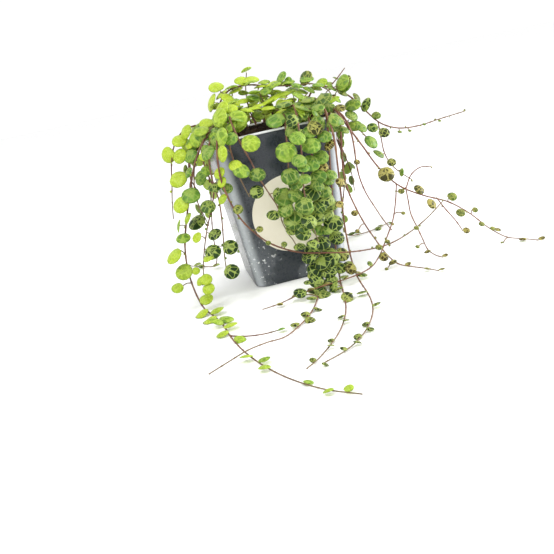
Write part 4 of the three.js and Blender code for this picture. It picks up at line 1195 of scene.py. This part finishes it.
class TURTLES_OT_pot(bpy.types.Operator):
    """Build the tapered square pot with its thin lip, thin wall and drain holes"""

    bl_idname = "turtles.pot"
    bl_label = "Pot"

    def execute(self, context):
        shell = bmesh.new()
        scale = RIM_CORNER / (RIM_WIDTH / 2)
        outer = [(0.0, -1.6 * MM), (0.35 * MM, -0.6 * MM), (1.2 * MM, -0.1 * MM), (2.5 * MM, 0.0)]
        outer += [(0.25 * POT_HEIGHT, 0.0), (0.5 * POT_HEIGHT, 0.0), (0.75 * POT_HEIGHT, 0.0)]
        outer += [(POT_HEIGHT - 2.4 * MM, 0.0), (POT_HEIGHT - 1.5 * MM, 0.1 * MM),
                  (POT_HEIGHT - 1.1 * MM, 0.45 * MM), (POT_HEIGHT - 0.4 * MM, 0.5 * MM),
                  (POT_HEIGHT, 0.15 * MM)]
        rings = []
        for z, proud in outer:
            half = half_width(z) + proud
            rings.append(square_ring(shell, half, max(half * scale, 2 * MM), z))
        for z, inset in ((POT_HEIGHT, 0.7 * MM), (POT_HEIGHT - 0.5 * MM, 1.15 * MM),
                         (0.6 * POT_HEIGHT, WALL), (2.4 * MM, WALL), (POT_FLOOR, 2.2 * MM)):
            half = half_width(z) - inset
            rings.append(square_ring(shell, half, half * scale, z))
        skin_rings(shell, rings)
        shell.faces.new(rings[0])
        shell.faces.new(rings[-1])
        pot = shell_object("pot_shell", shell)
        for x in (-DRAIN_OFFSET, DRAIN_OFFSET):
            for y in (-DRAIN_OFFSET, DRAIN_OFFSET):
                drill = bmesh.new()
                bmesh.ops.create_cone(drill, cap_ends=True, segments=40, radius1=DRAIN_RADIUS,
                                      radius2=DRAIN_RADIUS, depth=6 * POT_FLOOR,
                                      matrix=Matrix.Translation((x, y, 0)))
                drill = shell_object("drain", drill)
                cut = pot.modifiers.new("drain", "BOOLEAN")
                cut.operation = "DIFFERENCE"
                cut.object = drill
                baked(pot)
                bpy.data.objects.remove(drill)
        pot.data.shade_smooth()
        pot.data.set_sharp_from_angle(angle=math.radians(35))
        pot.data.materials.append(material("pot_wall", pot_finish))
        settle(pot, "pot_plastic", "pot")
        return {"FINISHED"}


def crumb_tree():
    """Scatters crumbs over the upward faces."""
    growth = Growth("crumb_scatter", Crumb="Object", Count="Int", Area="Float", Size="Float", Seed="Int",
                    Material="Material")
    seed = growth.given("Seed")
    surface = growth.given("Geometry")
    facing = growth.node("ShaderNodeSeparateXYZ", values={0: growth.wire("GeometryNodeInputNormal")})
    upward = growth.wire("FunctionNodeCompare", {"operation": "GREATER_THAN"},
                         {0: Wire(growth, facing.outputs[2]), 1: 0.5})
    density = growth.given("Count") / growth.given("Area")
    points = growth.wire("GeometryNodeDistributePointsOnFaces", {"distribute_method": "RANDOM"},
                         {"Mesh": surface, "Selection": upward, "Density": density, "Seed": seed})
    crumb = growth.node("GeometryNodeObjectInfo", {"transform_space": "ORIGINAL"},
                        {"Object": growth.given("Crumb")})
    turn = growth.chance((0.0, 0.0, 0.0), (6.28, 6.28, 6.28), seed + 1, "FLOAT_VECTOR")
    size = growth.chance(0.3, 1.0, seed + 2) * growth.given("Size")
    crumbs = growth.wire("GeometryNodeInstanceOnPoints",
                         values={"Points": points, "Instance": Wire(growth, crumb.outputs["Geometry"]),
                                 "Rotation": turn, "Scale": size})
    both = growth.node("GeometryNodeJoinGeometry")
    for part in (crumbs, surface):
        growth.tree.links.new(part.socket, both.inputs[0])
    return growth.finish(Wire(growth, both.outputs[0]), growth.given("Material"))


class TURTLES_OT_soil(bpy.types.Operator):
    """Fill the pot with peat, with an uneven crumbly top"""

    bl_idname = "turtles.soil"
    bl_label = "Soil"

    def execute(self, context):
        shell = bmesh.new()
        scale = RIM_CORNER / (RIM_WIDTH / 2)
        inset = WALL + 0.15 * MM
        rings = []
        for z in (POT_FLOOR + 0.3 * MM, 0.5 * POT_HEIGHT, SOIL_TOP - 2 * MM):
            half = half_width(z) - inset
            rings.append(square_ring(shell, half, half * scale, z))
        steps = 34
        for i in range(1, steps):
            half = (half_width(SOIL_TOP) - inset) * (1 - i / steps)
            rings.append(square_ring(shell, half, half * (scale + (1 - scale) * (i / steps) ** 2), SOIL_TOP))
        skin_rings(shell, rings)
        shell.faces.new(rings[0])
        shell.faces.new(rings[-1])
        for ring in rings[3:]:
            for vert in ring:
                x, y = vert.co.x, vert.co.y
                lumps = noise.fractal(Vector((x, y, 0.3)) * 130, 1.0, 2.0, 4)
                grit = noise.fractal(Vector((x, y, 0.7)) * 520, 1.0, 2.0, 3)
                vert.co.z = soil_height(x, y) + 1.3 * MM * lumps + 0.5 * MM * grit - 0.6 * MM
        soil = shell_object("soil_bed", shell)
        pebble = bmesh.new()
        bmesh.ops.create_icosphere(pebble, subdivisions=1, radius=1.0)
        draw = random.Random(5)
        for vert in pebble.verts:
            vert.co *= draw.uniform(0.6, 1.15)
        pebble = shell_object("crumb", pebble)
        size = sizes()
        piece = grow(soil, crumb_tree(), "soil_peat", {
            "Crumb": pebble, "Count": size.crumbs, "Area": (RIM_WIDTH - 4 * MM) ** 2,
            "Size": size.crumb_size, "Seed": 11, "Material": material("peat_crumb", peat_finish),
        })
        bpy.data.objects.remove(pebble)
        settle(piece, "peat", "soil")
        return {"FINISHED"}


class TURTLES_OT_label(bpy.types.Operator):
    """Stick the round paper label, with nothing printed on it, to the front wall"""

    bl_idname = "turtles.label"
    bl_label = "Label"

    def execute(self, context):
        radius = 0.5 * (LABEL_HIGH.x - LABEL_LOW.x)
        middle = 0.5 * (LABEL_LOW.z + LABEL_HIGH.z)
        tilt = math.atan((RIM_WIDTH - BASE_WIDTH) / 2 / POT_HEIGHT)
        disc = bmesh.new()
        rings = []
        for reach, lift in ((1.0, 0.0), (1.0, 0.16 * MM), (0.994, 0.2 * MM), (0.85, 0.2 * MM),
                            (0.6, 0.2 * MM), (0.35, 0.2 * MM), (0.12, 0.2 * MM)):
            ring = []
            for i in range(96):
                turn = 2 * math.pi * i / 96
                x, z = reach * radius * math.cos(turn), reach * radius * math.sin(turn)
                swell = 0.10 * MM * noise.noise(Vector((x, z, 0)) * 60) * min(1, (1 - reach) * 8)
                ring.append(disc.verts.new((x, -lift - swell, z)))
            rings.append(ring)
        skin_rings(disc, rings)
        disc.faces.new(rings[0])
        disc.faces.new(rings[-1])
        bmesh.ops.rotate(disc, verts=disc.verts, matrix=Matrix.Rotation(tilt, 3, "X"))
        bmesh.ops.translate(disc, verts=disc.verts, vec=(0, -half_width(middle) - 0.04 * MM, middle))
        label = shell_object("label_paper", disc)
        label.data.set_sharp_from_angle(angle=math.radians(50))
        label.data.materials.append(material("label_sheet", paper_finish))
        settle(label, "label_paper", "label")
        return {"FINISHED"}


# ---------------------------------------------------------------- stage

class TURTLES_OT_stage(bpy.types.Operator):
    """Set out the pale floor, the soft lights and the camera"""

    bl_idname = "turtles.stage"
    bl_label = "Studio"

    def execute(self, context):
        scene = context.scene
        sweep = bmesh.new()
        bmesh.ops.create_circle(sweep, cap_ends=True, segments=96, radius=FLOOR_RADIUS)
        mesh = bpy.data.meshes.new("studio_floor")
        bmesh.ops.recalc_face_normals(sweep, faces=sweep.faces)
        sweep.to_mesh(mesh)
        sweep.free()
        floor = plain_object("studio_floor", mesh)
        floor.data.materials.append(material("studio_floor", floor_finish))

        world = bpy.data.worlds.new("studio")
        world.use_nodes = True
        world.node_tree.nodes["Background"].inputs["Color"].default_value = (1, 1, 1, 1)
        world.node_tree.nodes["Background"].inputs["Strength"].default_value = 1.05
        scene.world = world
        for name, spot, size, power in LAMPS:
            lamp = bpy.data.lights.new(name, "AREA")
            lamp.shape = "DISK"
            lamp.size = size
            lamp.energy = power
            lamp_object = bpy.data.objects.new(name, lamp)
            lamp_object.location = spot
            aim = Vector(LAMP_AIM) - Vector(spot)
            lamp_object.rotation_euler = aim.to_track_quat("-Z", "Y").to_euler()
            scene.collection.objects.link(lamp_object)
        scene.view_settings.view_transform = "Standard"
        place_camera(scene)
        return {"FINISHED"}


# Lamps: name, place, size and power. All aim at the lower half of the pot.
LAMPS = (("key", (-0.8, -0.9, 1.5), 0.9, 16), ("right", (1.0, -0.1, 0.3), 0.55, 12))
LAMP_AIM = (0, 0, 0.05)
FLOOR_RADIUS = 6.0
CAMERA_TURN = math.radians(-7.5)
CAMERA_RISE = math.radians(15.5)
CAMERA_ROLL = math.radians(12.2)
CAMERA_DISTANCE = 0.592
CAMERA_AIM = Vector((-0.0145, 0.0, -0.004))


def place_camera(scene):
    """A camera a little above the rim, tipped so that the pot leans as it does in a hand."""
    back = Vector((math.sin(CAMERA_TURN) * math.cos(CAMERA_RISE),
                   -math.cos(CAMERA_TURN) * math.cos(CAMERA_RISE),
                   math.sin(CAMERA_RISE)))
    right = (-back).cross(Vector((0, 0, 1))).normalized()
    up = right.cross(-back)
    tipped_right = math.cos(CAMERA_ROLL) * right - math.sin(CAMERA_ROLL) * up
    tipped_up = math.sin(CAMERA_ROLL) * right + math.cos(CAMERA_ROLL) * up
    data = bpy.data.cameras.new("camera")
    data.lens = 50
    data.sensor_width = 36
    camera = bpy.data.objects.new("camera", data)
    place = Matrix((tipped_right, tipped_up, back)).transposed().to_4x4()
    place.translation = CAMERA_AIM + back * CAMERA_DISTANCE
    camera.matrix_world = place
    scene.collection.objects.link(camera)
    scene.camera = camera


# ---------------------------------------------------------------- add-on

class TURTLES_PT_panel(bpy.types.Panel):
    """Sizes, colours and the steps that build the potted plant"""

    bl_idname = "TURTLES_PT_panel"
    bl_label = "Potted String of Turtles"
    bl_space_type = "VIEW_3D"
    bl_region_type = "UI"
    bl_category = "Turtles"

    def draw(self, context):
        for group in (context.scene.turtles_sizes, context.scene.turtles_colours):
            box = self.layout.box()
            for key in group.__annotations__:
                box.prop(group, key)
        for step in STEPS:
            self.layout.operator(step.bl_idname)


STEPS = (TURTLES_OT_stage, TURTLES_OT_pot, TURTLES_OT_soil, TURTLES_OT_label, TURTLES_OT_plant)
CLASSES = (TurtlesSizes, TurtlesColours, *STEPS, TURTLES_PT_panel)


def register():
    for cls in CLASSES:
        bpy.utils.register_class(cls)
    bpy.types.Scene.turtles_sizes = bpy.props.PointerProperty(type=TurtlesSizes)
    bpy.types.Scene.turtles_colours = bpy.props.PointerProperty(type=TurtlesColours)


def unregister():
    del bpy.types.Scene.turtles_colours
    del bpy.types.Scene.turtles_sizes
    for cls in reversed(CLASSES):
        bpy.utils.unregister_class(cls)


def main():
    register()
    bpy.ops.turtles.stage()
    bpy.ops.turtles.pot()
    bpy.ops.turtles.soil()
    bpy.ops.turtles.label()
    bpy.ops.turtles.plant()


if __name__ == "__main__":
    main()
